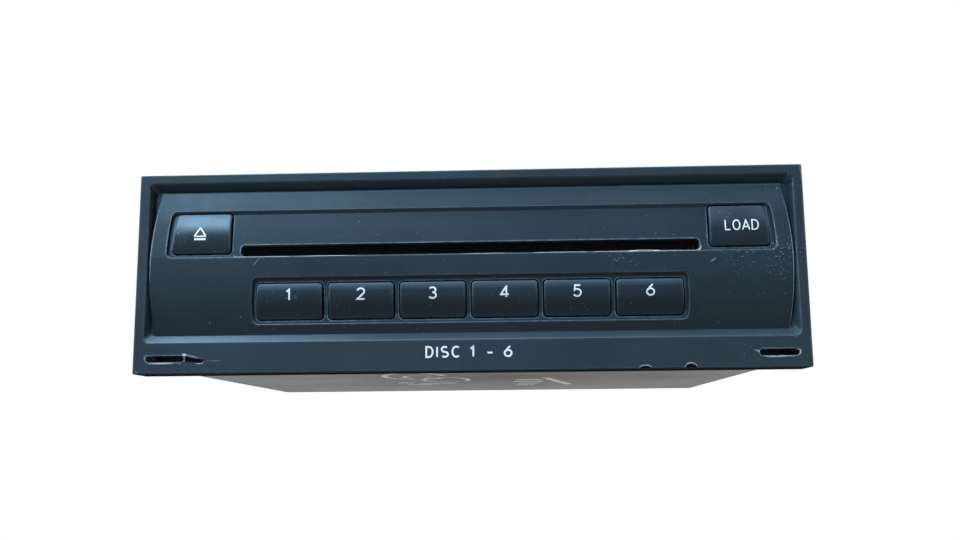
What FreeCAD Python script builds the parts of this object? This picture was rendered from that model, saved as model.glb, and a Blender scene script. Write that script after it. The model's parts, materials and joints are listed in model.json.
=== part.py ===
"""A car disc changer of one-DIN size: slot in front, six disc trays and a swinging pickup arm inside.

Millimetres. X is the width, Y runs from the front face to the rear, Z is up. While the pieces are made,
y is counted from the front face of the bezel and z from the bezel's lower edge. The saved pieces are
moved back by half the whole depth, so that the origin lies under the middle of the object.
"""
import FreeCAD
import Part

import math
import os

# How far a cutting shape runs past its piece, and a fused one into it
over = 1.0
root = 0.1
hole_play = 0.2
motor_nose_share = 0.33
shaft_hole_play = 1.0
depth_share = 0.9
corner_share = 0.5

# Case
case_width = 178.0
case_height = 52.0
case_depth = 172.0
sheet = 1.0
case_corner = 1.5
lip_width = 6.0
front_plate_y = 13.0
front_plate_flange = 8.0
disc_way_side = 3.0
disc_way_below = 4.25
disc_way_above = 5.25
vent_count = 9
vent_length = 22.0
vent_width = 2.4
vent_pitch = 6.0
vent_row = 24.0
pressed_ring_outer = 52.0
pressed_ring_inner = 50.0
pressed_depth = 0.5
side_hole_radius = 2.1
side_hole_boss = 3.0
side_hole_height = 18.0
side_hole_front = 82.0
side_hole_rear = 142.0
screw_radius = 1.25
screw_head_radius = 2.4
screw_head_height = 1.1
screw_cross = 0.5
screw_cross_depth = 0.6
screw_cross_length = 2.8
screw_hole_play = 0.15
screw_inset = 3.0
screw_front = 16.0
screw_rear = 12.0
stud_radius = 2.5
stud_length = 8.0
stud_flange_radius = 6.0
stud_flange = 1.2
stud_height = 40.0

# Bezel, the moulded front
bezel_overhang = 5.0
bezel_below = 2.1
bezel_above = 2.9
bezel_depth = 10.0
bezel_wall = 2.0
bezel_corner = 0.6
bezel_round = 0.35
bezel_floor = 2.4
front_wall_back = 4.6
border_side = 2.8
border_top = 2.6
border_bottom = 8.8
pocket_depth = 3.0
pocket_slope = 2.0
pocket_corner = 1.6
pocket_round = 0.5
snap_hook_width = 12.0
snap_hook_length = 4.0
snap_hook_root = 2.0
snap_hook_gap = 0.2

# Barrel-shaped panel in the pocket
panel_side = 3.3
panel_end_radius = 111.0
panel_end_height = 29.0
crease_below_slot = 1.75
crease_depth = 0.2
panel_top_depth = 2.1
panel_bottom_depth = 3.05
panel_upper_bow = 0.3
panel_lower_bow = 0.55
panel_round = 0.5

# Disc and its slot
disc_radius = 60.0
disc_thickness = 1.2
slot_centre = 34.75
slot_side = 4.75
slot_height = 3.3
slot_corner = 1.2

# Recess of the slot and its two side buttons
side_button_width = 16.8
side_button_height = 11.5
side_button_margin = 6.3
side_button_drop = 0.65
upper_recess_margin = 1.5
upper_recess_side = 1.7
upper_recess_below = 1.3
upper_recess_step = 1.2
upper_recess_depth = 1.1
upper_recess_slope = 2.1
recess_tool_front = -0.6
recess_tool_back = 2.8
recess_corner = 1.6

# The six disc buttons and their recess
button_count = 6
button_width = 18.4
button_height = 10.0
button_rib = 1.8
end_button_extra = 0.4
button_row_rise = 4.5
row_end_radius = 60.0
lower_recess_above = 1.6
lower_recess_below = 1.2
lower_recess_side = 1.3
lower_recess_depth = 1.1
lower_recess_round = 0.3
cap_corner = 1.0
cap_gap = 0.4
cap_proud = 0.35
cap_bow = 0.7
cap_edge_round = 0.45
cap_lip = 0.45
cap_lip_front = 5.0
cap_lip_thickness = 0.8
cap_wall = 1.2
button_travel = 0.6
stem_width = 4.0

# Release-key slots
key_slot_width = 10.8
key_slot_inset = 3.6
key_slot_bottom = 3.3
key_slot_height = 1.8
key_stop_margin = 1.2
key_stop_gap = 0.2
key_slot_flat = 0.1

# Dust shutter
flap_gap = 0.8
flap_thickness = 0.8
flap_overlap = 0.6
flap_side = 1.5
flap_hinge_rise = 1.8
flap_barrel = 0.9
hinge_rod = 0.5
hinge_rod_end = 2.4
hinge_lug = 0.6
hinge_lug_reach = 1.4
hinge_lug_half = 1.2
spring_coil = 1.0
spring_width = 1.2
spring_wire = 0.4
felt_thickness = 1.0
felt_width = 3.0

# Side latches
latch_front = 26.0
latch_length = 22.0
latch_bottom = 20.0
latch_height = 12.0
latch_pin_radius = 0.8
latch_knuckle = 0.8
latch_barb = 1.4
latch_barb_length = 6.0
latch_barb_inset = 2.0
latch_window_margin = 1.0
latch_window_front = 3.0
latch_window_side = 2.0

# Boards and the cable between them
board_thickness = 1.6
board_margin = 1.0
front_board_y = 9.4
front_board_bottom = 6.5
main_board_z = 5.6
main_board_side = 18.0
main_board_front = 20.0
main_board_rear_gap = 7.0
switch_size = 6.0
switch_height = 1.2
switch_plunger = 1.6
switch_gap = 0.1
lamp_size = 1.6
lamp_height = 0.9
board_boss_radius = 3.0
board_boss_inset = 6.0
chip_height = 2.0
chip_size = 18.0
small_chip_size = 11.0
chip_pitch = 34.0
chip_row = 62.0
small_chip_row = 112.0
capacitor_count = 6
capacitor_pitch = 18.0
capacitor_inset = 22.0
capacitor_radius = 2.5
capacitor_height = 4.2
cable_width = 20.0
cable_thickness = 0.3
cable_z = 4.6
cable_top = 9.5
cable_landing = 6.0

# Loading roller
roller_radius = 4.5
roller_waist = 0.6
roller_shaft_radius = 1.5
roller_gap = 8.0
roller_side = 2.0
bracket_side = 6.0
bracket_ahead = 13.0
bracket_behind = 9.0
bracket_rise = 6.35
guide_gap = 1.5
guide_thickness = 1.2
guide_behind = 5.0
load_motor_gap = 1.854
load_motor_radius = 5.0
load_motor_length = 20.0

# Gears
module = 0.8
pressure_angle = 20.0
addendum = 0.7
dedendum = 1.0
backlash = 0.16
gear_width = 3.0
flank_steps = 4
pinion_teeth = 12
roller_teeth = 16
lift_teeth = 16
arm_teeth = 24
motor_shaft_radius = 0.75
shaft_end = 0.6

# Mechanism plates
base_z = 12.0
base_thickness = 1.2
base_margin = 3.0
base_front = 18.0
base_rear_gap = 2.5
base_hole_radius = 38.0
base_notch_side = 4.0
base_notch_length = 19.0
top_gap = 1.1
top_thickness = 1.0
top_front_gap = 8.4
leg_width = 8.0
leg_outset = 0.5
leg_ahead = 37.0
leg_behind = 25.0
damper_inset = 6.0
damper_front_y = 24.0
damper_rear_gap = 11.0
damper_radius = 4.5
damper_bore = 1.5
damper_boss_top = 8.0
pillar_radius = 1.8
pillar_offset = 6.0

# Trays and their lift
tray_count = 6
tray_pitch = 3.0
tray_thickness = 2.6
tray_rim = 2.0
tray_ledge = 10.0
tray_recess = 1.5
disc_play = 0.6
disc_rear_gap = 8.0
tray_half_angle = 120.0
tray_split = 7.0
ear_wall = 3.0
ear_bar = 4.5
rack_side = 7.6
lift_screw_front_inset = 8.0
rack_rear_gap = 0.407
lift_screw_radius = 2.5
screw_journal_step = 0.7
lift_lead = 16.0
guide_post_x = -34.0
guide_post_inset = 2.5
guide_post_radius = 2.0
running = 0.06
slide_clearance = 0.15
axial_gap = 0.3
rack_height = 3.0
rack_back = 2.6
rack_end = 4.0
lift_motor_ahead = 3.0
lift_motor_radius = 9.0
lift_motor_height = 12.0
motor_nose = 0.8

# Pickup arm
pivot_gap = 3.4
pivot_rear_gap = 2.4
post_radius = 3.0
post_rise = 0.8
arm_z = 28.2
arm_plate = 1.0
arm_half_width = 12.0
arm_tip_radius = 12.6
arm_boss_radius = 6.0
arm_neck = 6.0
arm_flange_height = 3.4
arm_flange_tail = 12.0
arm_hub_top = 40.6
arm_gear_z = 24.0
arm_motor_angle = -60.0
arm_motor_radius = 6.0
spindle_motor_radius = 9.5
spindle_motor_height = 3.2
turntable_radius = 12.0
hub_radius = 7.4
hub_height = 1.7
hub_chamfer = 0.7
clamp_travel = 1.5
clamp_plate = 1.0
clamp_inset = 2.0
clamp_collar = 2.5
clamper_radius = 12.6
clamper_thickness = 1.4
clamper_neck = 4.0
clamper_play = 0.8
clamper_cap_radius = 6.5
clamper_cap = 0.8
read_inner = 24.0
sled_half_width = 10.3
sled_length = 15.0
sled_height = 3.4
sled_waist_side = 5.5
sled_waist = 3.5
lens_radius = 2.2
lens_height = 0.9
rod_radius = 1.0
rod_offset = 8.5
rod_z = 31.2
rod_wall = 1.5
rod_wall_rise = 1.9
rod_tail = 22.0
screw_offset = -5.5
sled_screw_radius = 1.1
sled_motor_radius = 2.8
sled_motor_length = 9.0

# Rear sockets
power_half_width = 20.0
power_bottom = 7.2
power_top = 18.5
power_length = 14.0
power_floor = 5.0
power_pins = 8
power_pin_pitch = 4.0
power_pin_size = 0.8
power_pin_row = 1.9
socket_proud = 5.0
socket_wall = 1.6
pin_depth = 5.5
jack_count = 3
jack_pitch = 11.0
jack_first_x = 46.0
jack_height = 24.0
jack_radius = 4.2
jack_wall = 0.6
jack_pin = 1.6
jack_collar_radius = 5.0
jack_collar = 1.2
jack_floor = 0.8
jack_inside = 11.0

# Overall sizes and places that follow
case_floor = bezel_below
case_top = case_floor + case_height
bezel_width = case_width + 2 * bezel_overhang
bezel_height = case_top + bezel_above
whole_depth = case_depth + stud_length
inner_floor = case_floor + sheet
inner_top = case_top - sheet
inner_half_width = case_width / 2 - sheet
inner_rear = case_depth - sheet
main_board_rear = inner_rear - main_board_rear_gap
capacitor_row = main_board_rear - capacitor_inset
power_front = inner_rear - power_length

# Places on the front that follow
panel_top = bezel_height - border_top - pocket_slope - axial_gap
panel_bottom = border_bottom + pocket_slope - 0.1
panel_half_width = bezel_width / 2 - panel_side
crease_height = slot_centre - crease_below_slot
slot_half_width = disc_radius + slot_side
side_button_outer = panel_half_width - side_button_margin
side_button_inner = side_button_outer - side_button_width
side_button_bottom = slot_centre - side_button_drop
side_button_top = side_button_bottom + side_button_height
upper_recess_top = side_button_top + upper_recess_margin
upper_recess_bottom = side_button_bottom - upper_recess_below
upper_recess_half_width = side_button_outer + upper_recess_side
button_pitch = button_width + button_rib
button_row_half_width = (button_count * button_pitch - button_rib) / 2 + end_button_extra
button_bottom = panel_bottom + button_row_rise
button_top = button_bottom + button_height
lower_recess_top = button_top + lower_recess_above
lower_recess_bottom = button_bottom - lower_recess_below
lower_recess_half_width = button_row_half_width + lower_recess_side
key_slot_outer = bezel_width / 2 - key_slot_inset
key_slot_inner = key_slot_outer - key_slot_width
cap_lip_back = cap_lip_front + cap_lip_thickness
stem_end = front_board_y - switch_height - board_margin / 2 - button_travel
disc_way_half_width = disc_radius + disc_way_side
disc_way_bottom = slot_centre - disc_way_below
disc_way_top = slot_centre + disc_way_above
latch_top = latch_bottom + latch_height

# Places inside that follow
pinion_radius = module * pinion_teeth / 2
roller_gear_radius = module * roller_teeth / 2
lift_gear_radius = module * lift_teeth / 2
arm_gear_radius = module * arm_teeth / 2
disc_bottom = slot_centre - disc_thickness / 2
disc_top = disc_bottom + disc_thickness
disc_centre_y = inner_rear - disc_rear_gap - disc_radius
tray_outer = disc_radius + tray_rim
tray_inner = disc_radius - tray_ledge
roller_y = disc_centre_y - tray_outer - roller_gap
roller_z = disc_bottom - roller_radius
roller_half_length = disc_radius - roller_side
bracket_x = disc_radius + bracket_side
bracket_front = roller_y - bracket_ahead
bracket_rear = roller_y + bracket_behind
guide_rear = roller_y + guide_behind
bracket_top = disc_bottom + bracket_rise
gear_x = bracket_x + base_thickness + axial_gap
base_top = base_z + base_thickness
load_centres = pinion_radius + roller_gear_radius
load_motor_drop = roller_z - base_top - pinion_radius - load_motor_gap
load_motor_angle = 180 + math.degrees(math.asin(load_motor_drop / load_centres))
load_motor_y = roller_y + load_centres * math.cos(math.radians(load_motor_angle))
load_motor_z = roller_z + load_centres * math.sin(math.radians(load_motor_angle))
base_half_width = inner_half_width - base_margin
base_rear = inner_rear - base_rear_gap
base_notch_front = inner_rear - base_notch_length
damper_rear_y = inner_rear - damper_rear_gap
leg_front_y = disc_centre_y - leg_ahead
leg_rear_y = disc_centre_y + leg_behind
base_notch_half_width = power_half_width + base_notch_side
damper_x = base_half_width - damper_inset
main_board_half_width = inner_half_width - main_board_side
gear_z = base_top + axial_gap
rack_line_x = inner_half_width - rack_side
lift_screw_x = rack_line_x - lift_gear_radius
lift_screw_front = lift_screw_front_inset - disc_radius
lift_motor_y = disc_centre_y - lift_motor_ahead
guide_post_y = tray_outer - guide_post_inset
screw_front_y = disc_centre_y + lift_screw_front
screw_journal = lift_screw_radius - screw_journal_step
rack_travel = lift_gear_radius * 2 * math.pi * tray_split / lift_lead
screw_rear_y = inner_rear - rack_rear_gap - rack_end - rack_travel
lift_screw_rear = screw_rear_y - disc_centre_y
lift_pinion_x = rack_line_x - pinion_radius
ear_radius = lift_screw_radius + ear_wall
tray_recess_radius = disc_radius + disc_play
top_z = inner_top - sheet - top_gap
pivot_x = arm_gear_radius + pivot_gap - inner_half_width
pivot_world_y = inner_rear - pivot_rear_gap - arm_gear_radius
pivot_y = pivot_world_y - disc_centre_y
arm_length = math.hypot(pivot_x, pivot_y)
spindle_y = pivot_world_y - arm_length
arm_motor_distance = arm_gear_radius + pinion_radius
arm_motor_x = pivot_x + arm_motor_distance * math.cos(math.radians(arm_motor_angle))
arm_motor_y = pivot_world_y + arm_motor_distance * math.sin(math.radians(arm_motor_angle))
top_front = spindle_y - arm_tip_radius - top_front_gap


def point(x, y, z):
    return FreeCAD.Vector(x, y, z)


def block(x0, x1, y0, y1, z0, z1):
    """A box between two values of each axis."""
    return Part.makeBox(x1 - x0, y1 - y0, z1 - z0, point(x0, y0, z0))


def rod(radius, start, end):
    """A round bar between two points."""
    along = end.sub(start)
    return Part.makeCylinder(radius, along.Length, start, along)


def upright(radius, x, y, z0, z1):
    """A round bar that stands along Z."""
    return rod(radius, point(x, y, z0), point(x, y, z1))


def upright_tube(outer, inner, x, y, z0, z1):
    return upright(outer, x, y, z0, z1).cut(upright(inner, x, y, z0, z1))


def loop(corners):
    """A closed wire of straight edges."""
    return Part.makePolygon(corners + [corners[0]])


def raised(corners, height):
    """A prism that stands on a flat outline."""
    return Part.Face(loop(corners)).extrude(height)


def rounded_wire(x0, x1, z0, z1, radius, y):
    """A rounded rectangle in a plane parallel to the front face."""
    def arc(cx, cz, start):
        angles = [math.radians(start + part) for part in (0, 45, 90)]
        ends = [point(cx + radius * math.cos(a), y, cz + radius * math.sin(a)) for a in angles]
        return Part.Arc(*ends).toShape()

    arcs = [
        arc(x1 - radius, z1 - radius, 0),
        arc(x0 + radius, z1 - radius, 90),
        arc(x0 + radius, z0 + radius, 180),
        arc(x1 - radius, z0 + radius, 270),
    ]
    edges = []
    for place, edge in enumerate(arcs):
        following = arcs[(place + 1) % len(arcs)]
        edges.append(edge)
        edges.append(Part.makeLine(edge.lastVertex().Point, following.firstVertex().Point))
    return Part.Wire(Part.__sortEdges__(edges))


def rounded_block(x0, x1, y0, y1, z0, z1, radius):
    """A box whose four edges along Y are rounded."""
    face = Part.Face(rounded_wire(x0, x1, z0, z1, radius, y0))
    return face.extrude(point(0, y1 - y0, 0))


def tapered_block(front, back, radius, y0, y1):
    """A rounded opening that changes size between its front and its back plane."""
    wires = [rounded_wire(*front, radius, y0), rounded_wire(*back, radius, y1)]
    return Part.makeLoft(wires, True, True)


def joined(shapes):
    whole = shapes[0]
    for shape in shapes[1:]:
        whole = whole.fuse(shape)
    return whole.removeSplitter()


def group(shapes):
    """Separate solids kept together in one file."""
    return Part.makeCompound(shapes)


def mirrored(shape):
    return shape.mirror(point(0, 0, 0), point(1, 0, 0))


def panel_depth(height):
    """How far the panel's bowed face lies behind the bezel's front at a height."""
    if height > crease_height:
        end, end_depth, bow = panel_top, panel_top_depth, panel_upper_bow
    else:
        end, end_depth, bow = panel_bottom, panel_bottom_depth, panel_lower_bow
    share = (height - crease_height) / (end - crease_height)
    return crease_depth + share * (end_depth - crease_depth) - 4 * bow * share * (1 - share)


def barrel_front(offset):
    """What lies in front of the panel's bowed face, moved back by the offset."""
    def edge(y, z):
        return point(-bezel_width, y + offset, z)

    upper_middle = (crease_height + panel_top) / 2
    lower_middle = (crease_height + panel_bottom) / 2
    crest = edge(crease_depth, crease_height)
    top = edge(panel_top_depth, panel_top)
    bottom = edge(panel_bottom_depth, panel_bottom)
    upper_bow = edge(panel_depth(upper_middle), upper_middle)
    lower_bow = edge(panel_depth(lower_middle), lower_middle)
    above = edge(panel_top_depth, bezel_height)
    below = edge(panel_bottom_depth, 0)
    far_top = edge(-bezel_depth, bezel_height)
    far_bottom = edge(-bezel_depth, 0)
    wire = Part.Wire([
        Part.Arc(top, upper_bow, crest).toShape(),
        Part.Arc(crest, lower_bow, bottom).toShape(),
        Part.makeLine(bottom, below),
        Part.makeLine(below, far_bottom),
        Part.makeLine(far_bottom, far_top),
        Part.makeLine(far_top, above),
        Part.makeLine(above, top),
    ])
    return Part.Face(wire).extrude(point(2 * bezel_width, 0, 0))


def between_arcs(half_width, radius, height):
    """A bar along Y whose two sides are round, bulging outward at the given height."""
    bars = []
    for side in (-1, 1):
        centre = side * (half_width - radius)
        start = point(centre, -bezel_depth, height)
        bars.append(rod(radius, start, point(centre, 2 * bezel_depth, height)))
    return bars[0].common(bars[1])


def panel_ends(half_width):
    return between_arcs(half_width, panel_end_radius - panel_half_width + half_width, panel_end_height)


def row_ends(half_width):
    middle = (button_top + button_bottom) / 2
    return between_arcs(half_width, row_end_radius - button_row_half_width + half_width, middle)


def button_x(place):
    return (place - (button_count - 1) / 2) * button_pitch


def corner_of_outline(grow):
    return cap_corner + grow if grow > 0 else cap_corner * cap_corner / (cap_corner - 2 * grow)


def rounded(shape, radius, wanted):
    """The shape with every edge rounded that the test picks out."""
    return shape.makeFillet(radius, [edge for edge in shape.Edges if wanted(edge)])


def is_depth_edge(edge):
    """Tells an edge that runs from front to back."""
    return edge.BoundBox.YLength > depth_share * edge.Length


def side_outline(grow, y0, y1):
    """The eject button's outline, grown by a gap, between two depths."""
    blank = block(
        -side_button_outer - grow - over, -side_button_inner + grow, y0, y1,
        side_button_bottom - grow, side_button_top + grow,
    )
    blank = blank.common(panel_ends(side_button_outer + grow))
    return rounded(blank, corner_of_outline(grow), is_depth_edge)


def row_outline(place, grow, y0, y1):
    """One disc button's outline, grown by a gap, between two depths."""
    left = button_x(place) - button_width / 2
    right = button_x(place) + button_width / 2
    if place == 0:
        left = -button_row_half_width - over
    if place == button_count - 1:
        right = button_row_half_width + over
    blank = block(left - grow, right + grow, y0, y1, button_bottom - grow, button_top + grow)
    blank = blank.common(row_ends(button_row_half_width + grow))
    return rounded(blank, corner_of_outline(grow), is_depth_edge)


def make_bezel_block():
    """The moulding's block with its front edges rounded and the sloped pocket sunk into it."""
    half = bezel_width / 2
    outer = rounded_block(-half, half, 0, bezel_depth, 0, bezel_height, bezel_corner)
    outer = rounded(outer, bezel_round, lambda edge: edge.BoundBox.YMax < root)
    mouth = (
        -half + border_side, half - border_side,
        border_bottom, bezel_height - border_top,
    )
    floor = (
        mouth[0] + pocket_slope / 2, mouth[1] - pocket_slope / 2,
        mouth[2] + pocket_slope, mouth[3] - pocket_slope,
    )
    outer = outer.cut(tapered_block(mouth, floor, pocket_corner, 0, pocket_depth))

    def is_rim(edge):
        box = edge.BoundBox
        inside = max(-box.XMin, box.XMax) < half - border_side + root
        return box.YMax < root and inside and box.ZMin > border_bottom - root

    return rounded(outer, pocket_round, is_rim)


def make_panel():
    """The bowed panel in the pocket, its outline rounded where it meets its face."""
    half = bezel_width / 2 - border_side
    blank = block(-half, half, 0, front_wall_back, panel_bottom, panel_top)
    panel = blank.common(panel_ends(panel_half_width)).cut(barrel_front(0))

    def is_outline(edge):
        box = edge.BoundBox
        on_face = box.YMax < front_wall_back - over and not is_depth_edge(edge)
        is_crease = box.XLength > panel_half_width and abs(box.ZMin - crease_height) < root
        return on_face and not is_crease

    return rounded(panel, panel_round, is_outline)


def upper_recess():
    """What is sunk into the panel round the slot and its two buttons."""
    half = upper_recess_half_width
    low = upper_recess_bottom - upper_recess_step / 4
    side = -half - over
    profile = loop([
        point(side, recess_tool_front, low),
        point(side, recess_tool_front, upper_recess_top + upper_recess_slope / 2),
        point(side, recess_tool_back, upper_recess_top - upper_recess_slope),
        point(side, recess_tool_back, low + upper_recess_step),
    ])
    tool = Part.Face(profile).extrude(point(-2 * side, 0, 0)).common(panel_ends(half))
    tool = rounded(tool, recess_corner, lambda edge: edge.BoundBox.XLength < corner_share * edge.Length)
    return tool.common(barrel_front(upper_recess_depth))


def lower_recess():
    """What is sunk into the panel round the six disc buttons."""
    half = lower_recess_half_width
    tool = block(
        -half - over, half + over, -over, front_wall_back, lower_recess_bottom, lower_recess_top
    )
    tool = rounded(tool.common(row_ends(half)), recess_corner, is_depth_edge)
    return tool.common(barrel_front(lower_recess_depth))


def cut_with_rounded_rim(shape, tool, radius):
    """Cuts the tool out of the panel and rounds the edge it leaves in the panel's face."""
    face = barrel_front(0)
    touch = root / 10

    def is_rim(edge):
        middle = Part.Vertex(edge.valueAt((edge.FirstParameter + edge.LastParameter) / 2))
        return middle.distToShape(face)[0] < touch and middle.distToShape(tool)[0] < touch

    return rounded(shape.cut(tool), radius, is_rim)


def bezel_windows():
    """The slot, the windows of the eight buttons and the two release-key slots."""
    windows = [rounded_block(
        -slot_half_width, slot_half_width, -over, bezel_depth,
        slot_centre - slot_height / 2, slot_centre + slot_height / 2, slot_corner,
    )]
    eject_window = side_outline(cap_gap, -over, bezel_depth)
    windows.append(eject_window)
    windows.append(mirrored(eject_window))
    for place in range(button_count):
        windows.append(row_outline(place, cap_gap, -over, bezel_depth))
    key_slot = rounded_block(
        -key_slot_outer, -key_slot_inner, -over, bezel_depth, key_slot_bottom,
        key_slot_bottom + key_slot_height, (key_slot_height - key_slot_flat) / 2,
    )
    windows.append(key_slot)
    windows.append(mirrored(key_slot))
    return windows


def key_slot_stop():
    """The wall behind the left release-key slot."""
    return block(
        -key_slot_outer - key_stop_margin, -key_slot_inner + key_stop_margin,
        bezel_depth - key_stop_margin, bezel_depth, bezel_wall, front_board_bottom - key_stop_gap,
    )


def make_bezel():
    panel = cut_with_rounded_rim(make_panel(), lower_recess(), lower_recess_round)
    shell = make_bezel_block().fuse(panel.cut(upper_recess()))
    half = bezel_width / 2 - bezel_wall
    shell = shell.cut(rounded_block(
        -half, half, front_wall_back, bezel_depth + over,
        bezel_floor, bezel_height - bezel_wall, bezel_wall,
    ))
    for window in bezel_windows():
        shell = shell.cut(window)
    stop = key_slot_stop()
    for piece in [stop, mirrored(stop)] + snap_hooks() + shutter_bearings():
        shell = shell.fuse(piece)
    return shell.removeSplitter()


def snap_hooks():
    """Two tongues on the bezel's upper wall that reach over the lid."""
    hooks = []
    low = case_top + snap_hook_gap
    for centre in (-case_width / 4, case_width / 4):
        hooks.append(block(
            centre - snap_hook_width / 2, centre + snap_hook_width / 2,
            bezel_depth - snap_hook_root, bezel_depth + snap_hook_length,
            low, bezel_height - snap_hook_gap,
        ))
    return hooks


def rounded_front(cap):
    """The cap with the edges of its face rounded."""
    face_edges = []
    for edge in cap.Edges:
        box = edge.BoundBox
        if box.YMax < front_wall_back - over and not is_depth_edge(edge):
            face_edges.append(edge)
    return cap.makeFillet(cap_edge_round, face_edges)


def pillow_front(low, high):
    """What lies in front of a button's bowed face between two heights."""
    def edge(height, back):
        return point(-bezel_width, panel_depth(height) - cap_proud + back, height)

    bottom = edge(low, cap_bow)
    top = edge(high, cap_bow)
    below = point(-bezel_width, bottom.y, low - over)
    above = point(-bezel_width, top.y, high + over)
    far_top = point(-bezel_width, -bezel_depth, high + over)
    far_bottom = point(-bezel_width, -bezel_depth, low - over)
    wire = Part.Wire([
        Part.Arc(top, edge((low + high) / 2, 0), bottom).toShape(),
        Part.makeLine(bottom, below),
        Part.makeLine(below, far_bottom),
        Part.makeLine(far_bottom, far_top),
        Part.makeLine(far_top, above),
        Part.makeLine(above, top),
    ])
    return Part.Face(wire).extrude(point(2 * bezel_width, 0, 0))


def make_cap(outline, low, high, stem_x):
    """A button: a bowed cap, hollow behind, with a retaining lip and a stem for its switch."""
    cap = outline(0, -over, cap_lip_back).cut(pillow_front(low, high))
    cap = rounded_front(cap)
    stem_z = (low + high) / 2
    lip = outline(cap_gap + cap_lip, cap_lip_front, cap_lip_back)
    hollow_front = cap_lip_front - cap_wall
    hollow = outline(-cap_wall, hollow_front, cap_lip_back + over)
    stem = block(
        stem_x - stem_width / 2, stem_x + stem_width / 2, hollow_front - root, stem_end,
        stem_z - stem_width / 2, stem_z + stem_width / 2,
    )
    return cap.fuse(lip).cut(hollow).fuse(stem).removeSplitter()


def side_button_centre():
    return (side_button_outer + side_button_inner) / 2, (side_button_top + side_button_bottom) / 2


def make_eject_button():
    x = side_button_centre()[0]
    return make_cap(side_outline, side_button_bottom, side_button_top, -x)


def make_disc_button(place):
    def outline(grow, y0, y1):
        return row_outline(place, grow, y0, y1)

    return make_cap(outline, button_bottom, button_top, button_x(place))


def make_front_board():
    half = case_width / 2 - board_margin
    board = block(
        -half, half, front_board_y, front_board_y + board_thickness,
        front_board_bottom, case_top - board_margin,
    )
    return board.cut(slot_way(board_margin, 0, case_depth))


def switch_places():
    x, z = side_button_centre()
    places = [(-x, z), (x, z)]
    row_z = (button_top + button_bottom) / 2
    return places + [(button_x(place), row_z) for place in range(button_count)]


def make_switches():
    switches = []
    body_front = front_board_y - switch_height
    for x, z in switch_places():
        body = block(
            x - switch_size / 2, x + switch_size / 2, body_front, front_board_y,
            z - switch_size / 2, z + switch_size / 2,
        )
        tip = stem_end + button_travel + switch_gap
        plunger = rod(switch_plunger, point(x, body_front, z), point(x, tip, z))
        switches.append(body.fuse(plunger))
    return group(switches)


def make_lamps():
    lamps = []
    for x, z in switch_places():
        for side in (-1, 1):
            lamp_x = x + side * (switch_size / 2 + lamp_size)
            lamps.append(block(
                lamp_x - lamp_size / 2, lamp_x + lamp_size / 2, front_board_y - lamp_height, front_board_y,
                z - lamp_size / 2, z + lamp_size / 2,
            ))
    return group(lamps)


def make_flat_cable():
    """The ribbon from the front board, down and back to the main board."""
    x0 = -cable_width / 2
    x1 = cable_width / 2
    front = front_board_y + board_thickness
    rear = main_board_front + cable_landing
    low = cable_z - cable_thickness
    drop = block(x0, x1, front, front + cable_thickness, cable_z, cable_top)
    run = block(x0, x1, front, rear, low, cable_z)
    rise = block(x0, x1, rear - cable_thickness, rear, low, main_board_z)
    return joined([drop, run, rise])


def slot_way(grow, y0, y1):
    return block(
        -disc_way_half_width - grow, disc_way_half_width + grow, y0, y1,
        disc_way_bottom - grow, disc_way_top + grow,
    )


def shutter_axis():
    axis_y = front_wall_back + flap_gap + flap_thickness / 2
    return axis_y, slot_centre + slot_height / 2 + flap_hinge_rise


def along_hinge(radius, start, end):
    """A round bar on the flap's axis."""
    axis_y, axis_z = shutter_axis()
    return rod(radius, point(start, axis_y, axis_z), point(end, axis_y, axis_z))


def make_shutter():
    """The dust flap: a thin plate that hangs from its hinge rod behind the slot."""
    axis_y, axis_z = shutter_axis()
    half = slot_half_width - flap_side
    low = slot_centre - slot_height / 2 - flap_overlap
    plate = block(
        -half, half, axis_y - flap_thickness / 2, axis_y + flap_thickness / 2, low, axis_z
    )
    barrel = along_hinge(flap_barrel, -half, half)
    pin = along_hinge(hinge_rod, -half - hinge_rod_end, half + hinge_rod_end)
    return joined([plate, barrel, pin])


def make_shutter_spring():
    """The return spring's coil round the right end of the flap's rod."""
    axis_y, axis_z = shutter_axis()
    start = slot_half_width - flap_side + axial_gap
    end = start + spring_width
    ring = along_hinge(spring_coil, start, end).cut(along_hinge(hinge_rod + running, start, end))
    tail = block(
        start, start + spring_wire, axis_y + spring_coil - spring_wire, front_board_y,
        axis_z - spring_wire / 2, axis_z + spring_wire / 2,
    )
    return ring.fuse(tail)


def shutter_bearings():
    """Two lugs on the back of the bezel's wall that carry the flap's rod."""
    axis_y, axis_z = shutter_axis()
    start = slot_half_width + hole_play
    end = start + hinge_lug
    lug = block(
        start, end, front_wall_back, axis_y + hinge_lug_reach,
        axis_z - hinge_lug_half, axis_z + hinge_lug_half,
    )
    lug = lug.cut(along_hinge(hinge_rod + running, start - over, end + over))
    return [lug, mirrored(lug)]


def make_felts():
    """Felt strips that wipe the disc, glued to the front plate above and below its way."""
    strips = []
    for low in (disc_way_top, disc_way_bottom - felt_width):
        strips.append(block(
            -disc_way_half_width, disc_way_half_width, front_plate_y - felt_thickness, front_plate_y,
            low, low + felt_width,
        ))
    return group(strips)


def make_front_plate():
    plate = block(
        -inner_half_width, inner_half_width, front_plate_y, front_plate_y + sheet,
        inner_floor, inner_top,
    )
    plate = plate.cut(slot_way(0, 0, case_depth))
    half = cable_width / 2 + over
    plate = plate.cut(block(-half, half, 0, case_depth, 0, cable_z + over))
    flange = block(
        -inner_half_width, inner_half_width, front_plate_y, front_plate_y + front_plate_flange,
        inner_top - sheet, inner_top,
    )
    return plate.fuse(flange).removeSplitter()


def damper_places():
    return [(side * damper_x, y) for side in (-1, 1) for y in (damper_front_y, damper_rear_y)]


def board_boss_places():
    x = main_board_half_width - board_boss_inset
    rows = (main_board_front + board_boss_inset, main_board_rear - board_boss_inset)
    return [(side * x, y) for side in (-1, 1) for y in rows]


def latch_axis():
    return inner_half_width + sheet / 2, latch_front


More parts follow.
